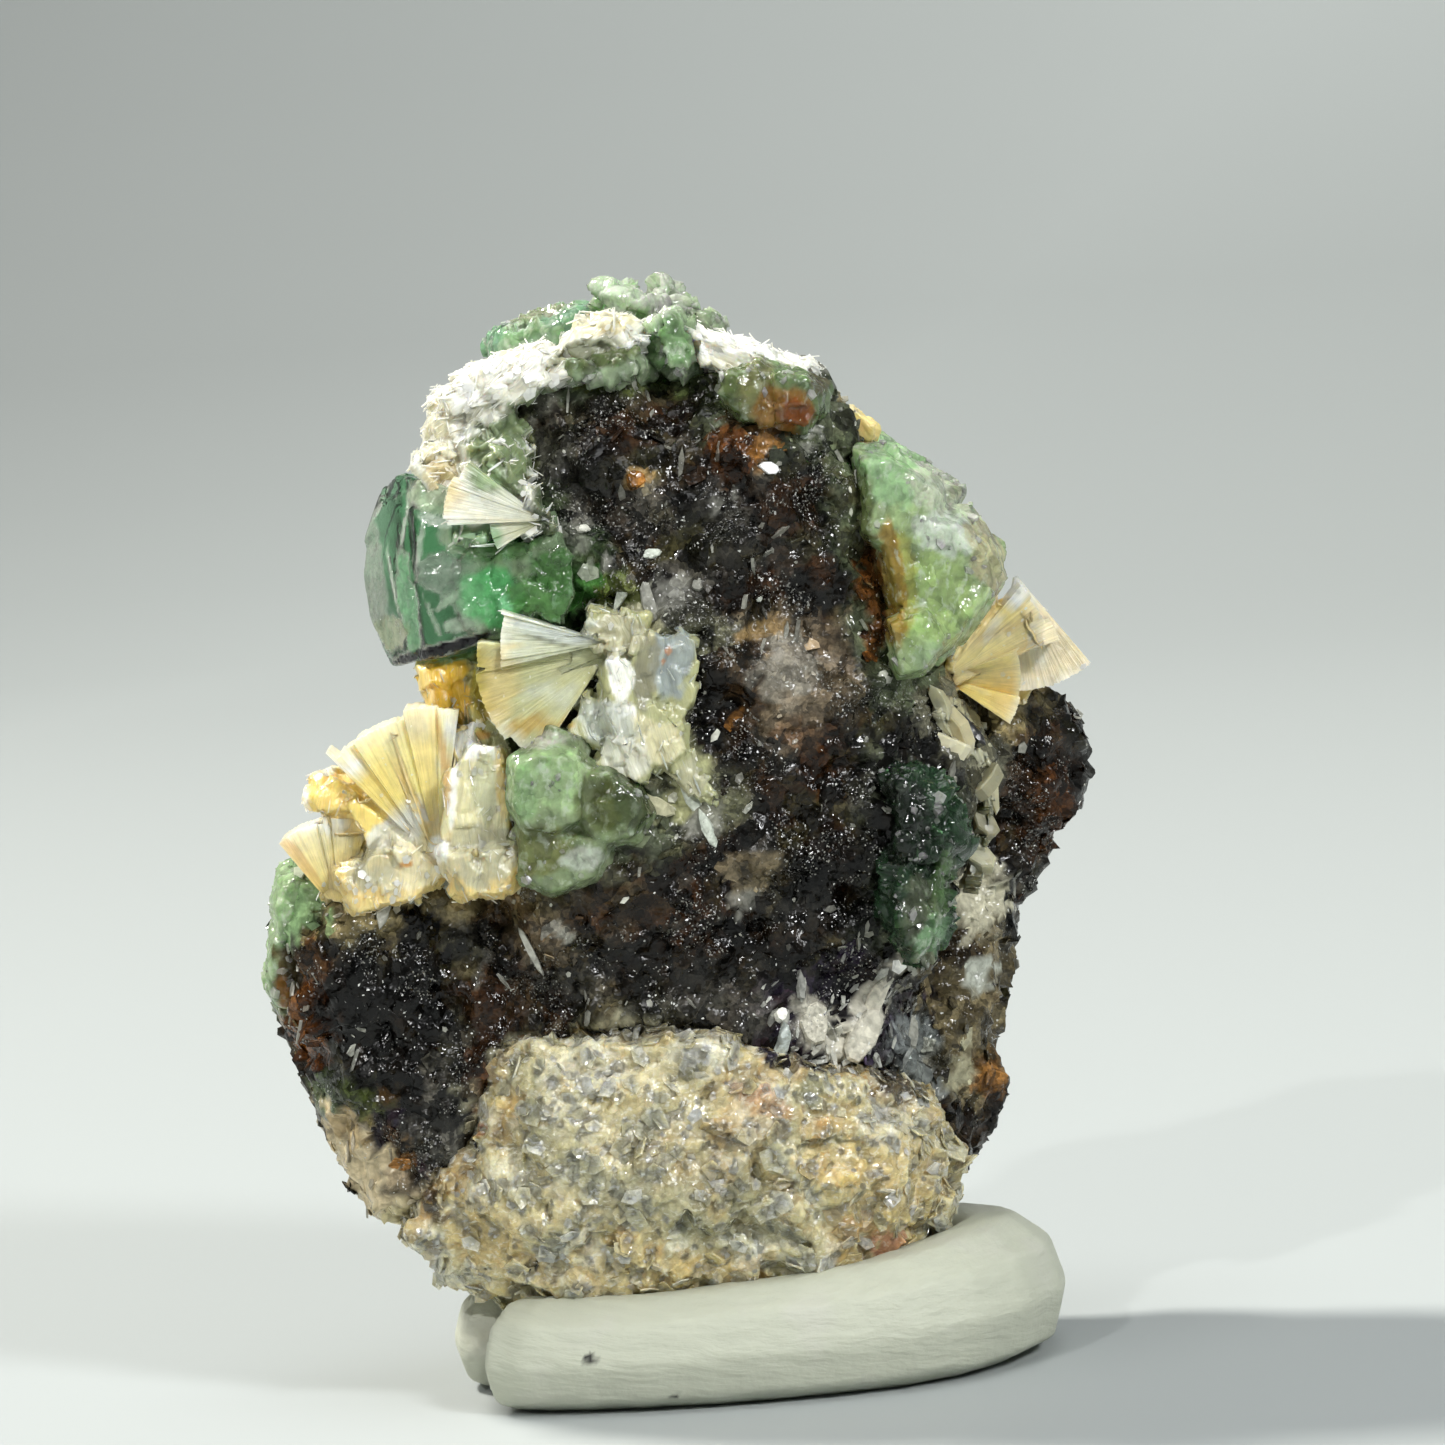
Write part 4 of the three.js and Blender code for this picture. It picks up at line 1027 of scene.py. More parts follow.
def rock_piece():
    """The dark rock, stained by what grows on it, with flakes, needles, blades and plates in its skin."""
    skin = voxel_skin([solid_of("mica_rock")], 0.262, 3, BLACK_MICA)
    points = skin.points
    tints = mineral_tints()
    distance, owner = edge_of(points, list(tints), EDGE_REACH)
    near = ramp(EDGE_REACH, 0.3, distance + 0.9 * rough(points, 1.1, 31))
    foot_distance, _ = edge_of(points, ["granular_base"], EDGE_REACH)
    skin.push(
        0.3 * rough(points, 2.6, 11)
        + facets(points, 2.0, 0.27, 0.16, 12)
        + facets(points, 0.85, 0.34, 0.12, 15)
        + 0.3 * near
        + 0.45 * ramp(1.5, 0.1, foot_distance)
    )
    skin.tint = (
        0.6 * grain_tints(skin, 1.1, GRAIN_COLOURS, 21)
        + 0.3 * grain_tints(skin, 2.4, GRAIN_COLOURS, 24)
    )
    behind = ramp(-0.1, 0.4, skin.normals[:, 1])
    broad = rough(skin.points, BACK_PATCH_SIZE, 41)
    ragged = rough(skin.points, BACK_PATCH_SIZE, 44, 4)
    skin.blend(MAUVE_GREY, 0.5 * behind * ramp(0.25, 0.5, broad))
    skin.blend(RUST, 0.5 * behind * ramp(-0.25, -0.5, broad))
    skin.blend(GREY_CREAM, 0.6 * behind * ramp(0.38, 0.46, ragged))
    edge_tint = np.array([linear(tint) for tint in tints.values()])[owner]
    skin.blend(0.25 * edge_tint + 0.3 * linear(EDGE_GREY), 0.75 * near)
    paint(skin, ROCK_PATCHES, 0.5, 0.55)
    _, bladed = next(patch_shares(skin, [BLADES], 0.5))
    drifts = ramp(0.0, 0.5, rough(skin.points, 2.2, 57))
    flakes = [
        scatter_flakes(
            skin, 130, (0.4, 1.5), 0.2, 54, weight=bladed, shade=0.25, colour=BLADES.colour,
            narrow=(0.15, 0.5), way=(0.6, 0, 1), lift=0.05,
        ),
        scatter_flakes(
            skin, 350, (0.3, 1.5), 0.3, 56, weight=drifts, shade=0.3, colour=PALE_GREY,
            narrow=(0.08, 0.3), way=(0.2, 0, 1),
        ),
        scatter_flakes(skin, 2500, (0.3, 1.2), 0.18, 51, shade=0.5, thick=0.06),
        scatter_flakes(skin, 400, (0.12, 0.6), 0.4, 52, shade=0.3, colour=PALE_GREY, lift=0.1),
        scatter_flakes(
            skin, 400, (0.2, 0.8), 0.35, 53, weight=near, shade=0.25, colour=DRY_WHITE, lift=0.1,
            narrow=(0.3, 0.8),
        ),
    ]
    lay_plates(skin, ROCK_PLATES, 55)
    put_down("dark_mica_rock", skin, flakes, dark_mica_material(), "dark_mica_rock", "mica_rock")


# The pale foot.
FOOT_PATCHES = [
    (FOOT_YELLOW, -9.1, 7.4, 1.6, 1.6, 0.8),
    (FOOT_CREAM, -2.5, 12.4, 3.8, 2.0, 0.7),
    (FOOT_WHITE, -4.6, 13.6, 1.6, 0.9, 0.6, 10),
    (FOOT_WHITE, 0.2, 14.0, 1.6, 0.6, 0.6, -10),
    (PURPLE_BLACK, 4.2, 13.6, 2.2, 0.9, 1, -12),
    (BROWN_MICA, 7.8, 11.8, 1.2, 0.7, 0.9, -15),
    (SALMON, 2.3, 11.8, 1.3, 0.5, 0.6, -25),
    (TAN, 1.6, 11.0, 1.6, 0.8, 0.5, 10),
    (FOOT_GREY, -2.4, 8.6, 2.4, 1.6, 0.75, -15),
    (FOOT_GREY, -2.0, 11.3, 1.3, 0.5, 0.6),
    (FOOT_GREY, -6.2, 10.4, 1.6, 0.9, 0.55, -20),
    (FOOT_GREY, 1.2, 7.6, 2.0, 1.6, 0.5),
    (TAN, -0.8, 10.1, 2.4, 1.4, 0.2),
    (FOOT_CREAM, -6.6, 8.2, 2.4, 1.2, 0.6, -12),
    (FOOT_YELLOW, 7.4, 8.2, 2.0, 2.6, 0.7),
    (FOOT_WHITE, 6.6, 10.2, 1.2, 0.7, 0.6),
    (PINK, 6.8, 5.4, 0.9, 0.8, 0.8),
    (AMBER_TAN, 5.9, 6.4, 0.8, 0.5, 0.5),
    (FOOT_YELLOW, -3.0, 5.3, 3.2, 0.9, 0.6),
    (TAN, -9.9, 10.6, 0.7, 1.6, 0.7, 15),
    (BROWN_MICA, -11.0, 8.6, 0.35, 1.3, 0.8, 15),
    (BRICK, -6.7, 9.2, 0.2, 0.1, 0.8, 20),
    (BRICK, -6.1, 12.0, 0.08, 0.12, 0.7),
    (BRICK, -8.9, 11.3, 0.12, 0.08, 0.7),
    (BRICK, -6.4, 7.3, 0.06, 0.12, 0.7),
    (BLACK_MICA, -7.0, 5.8, 0.3, 0.22, 1, -10),
]
FOOT_COLOURS = 3 * [FOOT_CREAM] + [FOOT_YELLOW, FOOT_WHITE, FOOT_GREY, TAN]


def foot_piece():
    """The pale foot of scales and quartz, dark where it meets the rock."""
    skin = voxel_skin([solid_of("granular_base")], 0.2, 3, FOOT_CREAM)
    points = skin.points
    distance, _ = edge_of(points, ["mica_rock"], EDGE_REACH)
    near = ramp(0.9, 0.3, distance + 1.2 * rough(points, 1.2, 66))
    skin.push(
        0.15 - 0.3 * ramp(1.6, 0.2, distance) + 0.2 * rough(points, 1.8, 61)
        + facets(points, 1.6, 0.34, 0.2, 62)
        + facets(points, 0.7, 0.3, 0.2, 65)
    )
    skin.tint = (
        0.55 * grain_tints(skin, 0.8, FOOT_COLOURS, 71)
        + 0.45 * grain_tints(skin, 1.9, FOOT_COLOURS, 74)
    )
    paint(skin, FOOT_PATCHES, 0.5, 0.5)
    skin.blend(BROWN_MICA, 0.6 * near)
    flakes = [
        scatter_flakes(skin, 2600, (0.35, 1.4), 0.12, 81, shade=0.09, thick=0.06),
        scatter_flakes(
            skin, 800, (0.25, 1.1), 0.18, 82, shade=0.06, colour=FOOT_WHITE, thick=0.06, lift=0.04,
        ),
        scatter_flakes(skin, 500, (0.2, 0.9), 0.4, 83, weight=near, shade=0.3, colour=BLACK_MICA, lift=0.1),
    ]
    put_down("granular_base_rock", skin, flakes, granular_material(), "granular_rock", "granular_base")


# Mica fans. Leaves spread from an apex in the plane of `along` and `across`, between two angles.
Fan = namedtuple("Fan", "apex along across start stop reach thick sectors root tip")
UP = (0, 0, 1)
RIGHT = (1, 0, 0)
LEFT = (-1, 0, 0)
DOWN = (0, 0, -1)
LEAF_ROOT = 0.2
LEAF_ANGLE = 0.8
FACE_ROWS = 9
RIM_ROWS = 3
SECTOR_SLOPE = 0.010
SECTOR_STAND = 0.05
SECTOR_REACH = (-0.06, 0.03)
SECTOR_SHADE = 0.04
LEAF_REACH = 0.004
LEAF_RIDGE = 0.0045
LEAF_SHADE = 0.015
PALE_RIM = 0.45


def fan_axes(fan):
    """The directions of a fan's first leaf, of the next leaves, and through the leaves."""
    first = unit(np.array(fan.along, float))
    through = unit(np.cross(first, fan.across))
    return first, np.cross(through, first), through


def fan_shell(fan, seed):
    """A fan's flat sectors and fine leaves as points, quads and colours."""
    rng = np.random.default_rng(seed)
    first, second, through = fan_axes(fan)
    columns = int((fan.stop - fan.start) / LEAF_ANGLE) + 1
    angle = np.linspace(fan.start, fan.stop, columns)
    breaks = np.sort(rng.uniform(fan.start, fan.stop, fan.sectors - 1))
    sector = np.searchsorted(breaks, angle)
    middle = np.array([angle[sector == one].mean() for one in sector])
    slope = rng.uniform(-SECTOR_SLOPE, SECTOR_SLOPE, fan.sectors)[sector]
    stand = rng.uniform(-SECTOR_STAND, SECTOR_STAND, fan.sectors)[sector]
    uneven = rng.uniform(*SECTOR_REACH, fan.sectors)[sector] + LEAF_REACH * rng.normal(size=columns)
    rim = fan.reach * (1 + uneven)
    ridge = LEAF_RIDGE * rng.normal(size=columns)
    shade = SECTOR_SHADE * rng.normal(size=fan.sectors)[sector] + LEAF_SHADE * rng.normal(size=columns)
    out = np.linspace(0, 1, FACE_ROWS)
    over = np.linspace(1, -1, RIM_ROWS + 2)[1:-1]
    share = np.concatenate([out, np.ones(RIM_ROWS), out[::-1]])
    side = np.concatenate([np.ones(FACE_ROWS), over, -np.ones(FACE_ROWS)])
    radius = LEAF_ROOT + share * (rim[:, None] - LEAF_ROOT)
    deep = fan.thick / 2 * (0.35 + 0.65 * np.sqrt(share)) * (1 + stand[:, None])
    deep = deep + share * ((slope * (angle - middle))[:, None] * fan.thick + ridge[:, None])
    turn = np.radians(angle)[:, None]
    points = (
        np.array(fan.apex)
        + (radius * np.cos(turn))[..., None] * first
        + (radius * np.sin(turn))[..., None] * second
        + (side * deep)[..., None] * through
    )
    rows = len(share)
    index = np.arange(columns * rows).reshape(columns, rows)
    after = np.roll(index, -1, axis=1)
    walls = np.stack([index[:-1], after[:-1], after[1:], index[1:]], axis=-1).reshape(-1, 4)
    half = rows // 2
    ends = []
    for column, order in ((index[0], 1), (index[-1], -1)):
        for i in range(half):
            ends.append([column[i], column[rows - 1 - i], column[rows - 2 - i], column[i + 1]][::order])
    quads = np.concatenate([walls, np.array(ends)])
    points = points.reshape(-1, 3)
    corners = points[quads]
    facing = np.cross(corners[:, 2] - corners[:, 0], corners[:, 3] - corners[:, 1])
    if np.einsum("ij,ij->", facing, corners.mean(axis=1) - points.mean(axis=0)) < 0:
        quads = quads[:, ::-1]
    colour = linear(fan.root) + share[None, :, None] ** 1.5 * (linear(fan.tip) - linear(fan.root))
    pale_rim = ramp(0.86, 1.0, share)[None, :, None]
    colour += PALE_RIM * pale_rim * (linear(WHITE) - colour)
    tint = np.clip(colour * np.exp(shade)[:, None, None], 0, 0.9).reshape(-1, 3)
    return points, quads, tint


def fan_place(fan, points):
    """Distance from a fan's apex, angle, depth through it, and 1 where a point lies in the fan."""
    first, second, through = fan_axes(fan)
    away = points - np.array(fan.apex)
    x, y, z = away @ first, away @ second, away @ through
    radius = np.hypot(x, y)
    angle = np.degrees(np.arctan2(y, x))
    inside = (
        ramp(fan.reach * 1.12, fan.reach * 1.04, radius)
        * ramp(fan.start - 7, fan.start - 3, angle)
        * ramp(fan.stop + 7, fan.stop + 3, angle)
        * ramp(fan.thick * 0.72, fan.thick * 0.6, np.abs(z))
    )
    return radius, angle, z, inside


Mica = namedtuple(
    "Mica", "slot tint fans grain patches flakes voxel glow lumps ragged plates sunk",
    defaults=((), 1.0, (), 0.0),
)
MICAS = {}
MICAS["muscovite_left_fans"] = Mica(
    slot="golden_muscovite",
    tint=PALE_GOLD,
    fans=[
        Fan((-13.7, -4.3, 20.0), UP, RIGHT, -34, 22, 3.9, 2.8, 4, GOLD, CREAM),
        Fan((-9.6, -5.3, 21.8), UP, RIGHT, -40, 12, 6.1, 3.0, 6, GOLD, BUTTER),
    ],
    grain=(0.15, 0, 1),
    patches=[
        (WEDGE_CREAM, -7.9, 24.4, 1.7, 3.2, 0.9),
        (CREAM, -11.0, 22.2, 2.0, 1.3, 0.85),
        (AMBER_TAN, -15.0, 22.0, 0.35, 1.6, 0.5, 25),
        (WHITE, -14.3, 23.7, 0.8, 0.4, 0.8, 10),
        (GOLD, -12.2, 23.7, 0.9, 1.9, 0.9, 10),
        (GOLD, -13.8, 24.8, 1.0, 0.9, 0.8),
        (WHITE, -13.3, 25.9, 1.5, 0.3, 0.9, 5),
        (WHITE, -14.8, 24.7, 0.3, 0.9, 0.7),
        (GOLD, -11.4, 25.0, 0.9, 1.2, 0.7, -20),
        (CREAM, -10.2, 27.4, 0.8, 0.4, 0.8),
        (AMBER_TAN, -9.0, 25.4, 0.18, 2.2, 0.6, 4),
        (WHITE, -8.7, 25.0, 0.14, 2.0, 1, -8),
        (WHITE, -7.0, 25.6, 0.1, 1.4, 0.8, 8),
        (WHITE, -7.4, 26.4, 0.9, 0.4, 1, 20),
        (DULL_CREAM, -7.5, 24.8, 0.5, 1.4, 0.8, -5),
        (YELLOW_CREAM, -6.8, 25.0, 0.3, 1.4, 0.8),
        (GREY_CREAM, -7.7, 22.2, 1.6, 1.2, 0.85, 10),
        (SILK_WHITE, -11.2, 23.3, 1.4, 0.7, 0.9, 20),
        (GREY_CREAM, -12.2, 22.0, 1.2, 0.8, 0.8, 30),
        (AMBER_TAN, -10.9, 22.0, 0.25, 0.14),
        (QUARTZ_GREY, -12.3, 22.5, 0.15, 0.9, 0.8, -40),
        (WHITE, -9.5, 22.5, 0.4, 0.5),
        (WHITE, -8.0, 26.9, 0.9, 0.6, 0.9, -10),
        (CREAM, -10.9, 22.9, 0.8, 0.6, 0.7),
    ],
    flakes=[(SILK_WHITE, 400, (0.15, 0.5), BROAD), (WHITE, 300, (0.3, 1.0), NARROW)],
    voxel=0.1,
    glow=0.4,
    lumps=[Lump(-8.1, -5.4, 26.6, 1.7, 2.6, 1.5, 15), Lump(-11.6, -5.2, 23.6, 1.9, 2.4, 2.6, 20)],
)
MICAS["muscovite_centre_fan"] = Mica(
    slot="greenish_muscovite",
    tint=GREENISH_CREAM,
    fans=[
        Fan((-2.3, -7.1, 29.7), LEFT, DOWN, -10, 52, 5.1, 2.2, 6, DRY_GRASS, GREENISH_CREAM),
        Fan((-2.3, -7.6, 30.1), LEFT, DOWN, -22, 8, 4.2, 1.6, 3, DULL_SAGE, PALE_SAGE),
    ],
    grain=(-0.1, 0, 1),
    patches=[
        (DEEP_YELLOW, -9.0, 28.4, 1.3, 1.9, 0.95),
        (PALE_GOLD, -9.6, 28.6, 0.3, 1.4, 0.8),
        (GREENISH_CREAM, -8.7, 29.9, 1.2, 0.25),
        (OLIVE_YELLOW, -7.4, 28.6, 0.45, 1.8, 0.95, -5),
        (AMBER, -7.5, 26.8, 0.4, 0.2, 0.6),
        (YELLOW_CREAM, -6.5, 28.8, 0.7, 1.6, 0.6, -15),
        (OCHRE, -5.3, 27.1, 1.3, 0.4, 0.65, -4),
        (SILVER, -4.4, 28.3, 1.2, 0.5, 0.5, -20),
        (SILVER, -4.1, 30.9, 1.9, 0.6, 0.8, -14),
        (MOSS, -4.6, 30.4, 1.2, 0.1, 0.6, -20),
        (WHITE, -1.9, 28.9, 0.5, 1.1, 1, 5),
        (WHITE, -2.0, 27.3, 0.7, 0.6),
        (CREAM, -1.3, 26.3, 1.6, 1.0, 0.7, -20),
        (QUARTZ_GREY, -1.1, 28.4, 0.35, 1.0, 0.7),
        (SLATE, 0.1, 29.2, 0.9, 1.7, 0.95, -10),
        (SALMON, 0.0, 29.6, 0.15, 0.15, 0.9),
        (SALMON, -0.2, 29.2, 0.1, 0.12, 0.9),
        (GREY_CREAM, 0.5, 24.4, 0.6, 1.4, 0.8, -20),
        (SILVER, -2.5, 26.9, 1.2, 0.9, 0.8, -20),
        (QUARTZ_GREY, -0.9, 28.9, 0.5, 1.4, 0.8, -10),
        (GREY_CREAM, -1.9, 30.4, 1.2, 0.8, 0.9),
        (SILK_WHITE, -1.9, 25.7, 1.0, 0.8, 0.8, -30),
    ],
    flakes=[(SILK_WHITE, 160, (0.15, 0.45), BROAD), (SILVER, 300, (0.3, 1.0), NARROW)],
    voxel=0.09,
    glow=0.3,
    lumps=[
        Lump(-2.8, -7.0, 27.0, 2.2, 2.0, 1.8, -20),
        Lump(-0.9, -7.6, 28.9, 1.3, 1.4, 2.8, -10),
        Lump(-1.9, -6.9, 30.4, 2.4, 1.6, 1.7, -10),
        Lump(-1.9, -7.6, 25.6, 2.0, 1.6, 1.5, -30),
    ],
)
MICAS["muscovite_upper_left"] = Mica(
    slot="white_muscovite",
    tint=SILK_WHITE,
    fans=[
        Fan((-4.3, -7.2, 35.0), LEFT, UP, 2, 42, 3.9, 1.5, 4, CREAM, WHITE),
        Fan((-4.3, -7.0, 35.0), LEFT, UP, -26, 1, 2.2, 1.3, 2, GREENISH_CREAM, SILK_WHITE),
    ],
    grain=(0.85, 0, 0.6),
    patches=[
        (WHITE, -6.5, 40.4, 2.4, 0.8, 0.9, 22),
        (CREAM, -8.3, 38.0, 0.8, 1.8, 0.6),
        (YELLOW_CREAM, -8.2, 36.6, 0.7, 1.0, 0.6),
        (QUARTZ_GREY, -6.9, 39.3, 0.4, 0.4, 0.6),
        (CREAM, -1.5, 42.4, 1.5, 0.5, 0.9, 5),
        (OLIVE_GREEN, -2.3, 41.4, 1.6, 0.4, 0.7, 10),
        (WHITE, -0.1, 41.4, 0.5, 0.6, 1, 40),
        (SILVER, -6.0, 36.0, 1.4, 0.8, 0.6, -30),
        (FERN, -5.8, 37.6, 1.3, 1.7, 0.95, -10),
        (DEEP_FERN, -4.4, 39.3, 1.7, 0.7, 0.9, 25),
        (PALE_GREEN, -6.4, 36.9, 0.5, 0.5, 0.7),
        (MINT, -7.6, 34.2, 1.7, 0.9, 0.95),
        (DARK_FERN, -4.1, 35.2, 0.7, 1.4, 0.95, 10),
    ],
    flakes=[(WHITE, 500, (0.2, 0.8), BROAD), (WHITE, 1800, (0.3, 1.1), NARROW)],
    voxel=0.1,
    glow=0.3,
    lumps=[
        Lump(-6.1, -4.3, 38.0, 2.4, 2.0, 2.2, 30),
        Lump(-8.3, -4.4, 37.0, 1.5, 2.2, 1.8, 20),
        Lump(-5.0, -4.8, 40.2, 2.2, 1.8, 1.2, 25),
    ],
    ragged=1.7,
)
MICAS["muscovite_top"] = Mica(
    slot="white_muscovite",
    tint=WHITE,
    fans=[],
    grain=(1, 0, -0.45),
    patches=[(PALE_GREEN, 5.1, 40.0, 0.8, 0.4, 0.5, -20), (CREAM, 3.0, 40.3, 0.9, 0.4, 0.6, -20)],
    flakes=[(WHITE, 200, (0.15, 0.5), BROAD), (WHITE, 600, (0.3, 1.0), NARROW)],
    voxel=0.1,
    glow=0.3,
    ragged=1.5,
)
MICAS["muscovite_right_fans"] = Mica(
    slot="golden_muscovite",
    tint=PALE_GOLD,
    fans=[
        Fan((10.8, 0.2, 27.1), RIGHT, UP, -38, 18, 3.2, 3.0, 3, GOLD, PALE_GOLD),
        Fan((10.8, 0.4, 27.1), RIGHT, UP, 14, 46, 4.8, 3.0, 3, GOLD, PALE_GOLD),
        Fan((14.1, 2.0, 30.9), DOWN, RIGHT, -12, 36, 4.6, 3.0, 1, SILK_WHITE, PEACH),
    ],
    grain=(0.5, 0, 1),
    patches=[
        (WHITE, 13.8, 30.2, 0.5, 0.5),
        (WHITE, 12.9, 28.9, 0.2, 0.9, 0.7, -30),
        (SILK_WHITE, 15.0, 28.3, 0.7, 1.2, 0.7, -20),
        (AMBER_TAN, 11.0, 27.0, 0.5, 0.4, 0.8),
        (PEACH, 15.9, 28.4, 1.1, 1.4, 0.9),
        # Painted light: a pale gold wash that brightens the near fan.
        (PAINTED_LIGHT_GOLD, 12.4, 28.2, 1.6, 1.7, 0.5),
        (WHITE, 13.9, 30.3, 0.6, 0.5, 0.9),
    ],
    flakes=[(WHITE, 150, (0.15, 0.4), BROAD)],
    voxel=0.1,
    glow=0.4,
)
MICAS["muscovite_right_plates"] = Mica(
    slot="white_muscovite",
    tint=GREY_CREAM,
    fans=[],
    grain=(-0.3, 0, 1),
    patches=[
        (BROWN_MICA, 11.6, 24.4, 2.4, 3.4, 0.9),
        (BLACK_MICA, 11.5, 25.2, 0.6, 1.6, 0.9, 30),
        (MOSS, 12.0, 20.6, 1.4, 2.2, 0.8),
    ],
    flakes=[(SILK_WHITE, 60, (0.15, 0.5), BROAD)],
    voxel=0.1,
    glow=0.25,
    plates=[
        (GREY_CREAM, 10.5, 26.4, 0.8, 0.3, -60, 0.1),
        (STRAW, 10.9, 25.3, 1.3, 0.55, -64, 0.1),
        (OAT, 10.8, 24.9, 0.8, 0.25, -70, 0.15),
        (HAY, 11.9, 25.9, 1.3, 0.22, -40, 0.1),
        (BLACK_MICA, 11.5, 25.4, 1.1, 0.22, -56, 0.15),
        (REED, 12.5, 24.4, 1.3, 0.4, -74, 0.1),
        (LICHEN, 12.1, 23.2, 1.0, 0.45, -80, 0.1),
        (FLAX, 12.5, 22.6, 1.2, 0.2, -88, 0.15),
        (SHALE, 12.0, 21.4, 0.8, 0.45, -70, 0.1),
        (GREY_CREAM, 11.6, 20.2, 0.9, 0.5, -60, 0.1),
        (PALE_GREY, 11.9, 19.3, 0.8, 0.4, -40, 0.1),
    ],
    sunk=0.35,
)
MICAS["muscovite_small_book"] = Mica(
    slot="golden_muscovite",
    tint=PALE_GOLD,
    fans=[],
    grain=(1, 0, -0.6),
    patches=[(CREAM, 7.6, 38.2, 0.6, 0.4, 0.7, -30)],
    flakes=[(SILK_WHITE, 40, (0.12, 0.35), BROAD)],
    voxel=0.1,
    glow=0.4,
)
FIBRE_WIDTH = 0.11
FIBRE_LENGTH = 2.2
FIBRE_SWELL = (0.28, 2.4, 0.9)
FINE_SWELL = (0.14, 1.6, 0.6)


def mica_piece(name, mica, seed):
    """Fans and books of mica: leaves, and a ragged skin with fibres, flakes and plates between them."""
    lumps = [lump_solid(lump) for lump in mica.lumps]
    skin = voxel_skin([solid_of(name)] + lumps, mica.voxel, 1, mica.tint)
    sunk = np.zeros(len(skin.points))
    for fan in mica.fans:
        sunk = np.maximum(sunk, fan_place(fan, skin.points)[3])
    skin.push(-0.3 * sunk - mica.sunk)
    outside = 1 - sunk
    shape = facets(skin.points, 0.8, 0.3, 0.16, seed + 52) + 0.08 * rough(skin.points, 1.1, seed + 53)
    skin.push(outside * mica.ragged * shape)
    for i, fan in enumerate(mica.fans):
        skin.join(*fan_shell(fan, seed + i))
    outside = np.concatenate([outside, np.zeros(len(skin.points) - len(outside))])
    points = skin.points
    along = unit(np.array(mica.grain, float))
    beside = unit(np.cross(along, (0, 1, 0)))
    through = np.cross(beside, along)
    drift = 0.5 * rough(points, 1.5, seed + 40)
    fibre = np.stack([points @ beside + drift, points @ along, points @ through], axis=1)
    for fan in mica.fans:
        radius, angle, depth, inside = fan_place(fan, points)
        here = inside > 0.5
        arc = np.radians(angle) * fan.reach
        fibre[here] = np.stack([arc, radius, depth], axis=1)[here]
    fibrous = 0.05 * swells(fibre, FIBRE_SWELL, seed + 50) + 0.03 * swells(fibre, FINE_SWELL, seed + 51)
    skin.push(outside * fibrous)
    paint(skin, mica.patches)
    pale = ramp(0.2, 0.5, skin.tint.mean(axis=1))
    flakes = [
        scatter_flakes(
            skin, count, size, 0.2, seed + 70 + i, weight=(0.05 + outside) * pale, colour=colour, shade=0.1,
            thick=0.05, lift=0.06 * mica.ragged, narrow=narrow, way=mica.grain,
        )
        for i, (colour, count, size, narrow) in enumerate(mica.flakes)
    ]
    lay_plates(skin, mica.plates, seed + 60)
    scale = np.array([1 / FIBRE_WIDTH, 1 / FIBRE_LENGTH, 1 / (3 * FIBRE_WIDTH)])
    material = mica_material(name + "_mica", mica.glow)
    put_down(name + "_leaves", skin, flakes, material, mica.slot, name, {"fibre": fibre * scale})


# Cloudy green crystals.
Crystal = namedtuple("Crystal", "tint sugar patches cut swell", defaults=(1.0, 0.05))
CRYSTALS = {}
CRYSTALS["fluorite_top"] = Crystal(SUMMIT_GREEN, sugar=160, cut=2.4, patches=[
    (PALE_MINT, -0.8, 43.4, 1.4, 0.9, 0.8),
    (LEAF_GREEN, 1.0, 41.4, 0.9, 1.2, 0.6, -20),
    (OLIVE_GREEN, -1.9, 41.2, 1.8, 0.6, 0.8, 5),
    (ASH, 0.9, 43.4, 1.0, 0.9, 0.85),
    (DARK_GREEN, 2.1, 40.4, 0.5, 0.7, 0.7),
])
CRYSTALS["fluorite_top_left"] = Crystal(TEAL, sugar=80, cut=1.8, patches=[
    (QUARTZ_GREY, -4.4, 42.9, 1.8, 0.3, 0.9, 8),
    (PALE_GREEN, -4.2, 41.8, 1.4, 0.7, 0.5),
])
CRYSTALS["fluorite_top_right"] = Crystal(GREY_OLIVE, sugar=60, patches=[
    (OLIVE_GREEN, 3.3, 39.4, 1.0, 1.2, 0.5),
    (KHAKI, 4.3, 39.3, 0.9, 1.2, 0.6),
    (CARAMEL, 5.2, 38.4, 1.2, 1.2, 0.75, 20),
    (CINNAMON, 5.7, 38.3, 0.7, 0.6, 0.7),
    (MAUVE_GREY, 6.8, 39.6, 0.5, 0.6, 0.8),
])
CRYSTALS["fluorite_right"] = Crystal(APPLE, sugar=210, cut=0.6, patches=[
    (SPRING_GREEN, 9.4, 35.6, 1.6, 1.3, 0.8, -20),
    (CELADON, 11.6, 34.4, 1.9, 1.1, 0.9, -40),
    (LIME, 10.4, 30.6, 1.9, 1.9, 0.8),
    # Painted highlight: a near-white patch.
    (HIGHLIGHT_GREEN, 11.2, 33.1, 1.3, 0.8, 0.9, -20),
    (YELLOW_GREEN, 9.4, 31.3, 0.6, 1.9, 0.8),
    (BRONZE, 8.9, 31.2, 0.6, 2.3, 0.8),
    (DARK_AMBER, 8.1, 30.9, 0.6, 2.5, 0.95),
    (BONE, 13.0, 31.9, 0.8, 2.1, 0.85, 15),
    (QUARTZ_GREY, 13.3, 32.9, 0.3, 0.5, 0.8),
    (QUARTZ_GREY, 12.0, 34.4, 0.4, 0.3, 0.6, -30),
    (OLIVE_GREEN, 7.9, 34.4, 0.6, 1.8, 0.8, -10),
    (PALE_GREEN, 10.3, 28.4, 0.8, 0.6, 0.8),
])
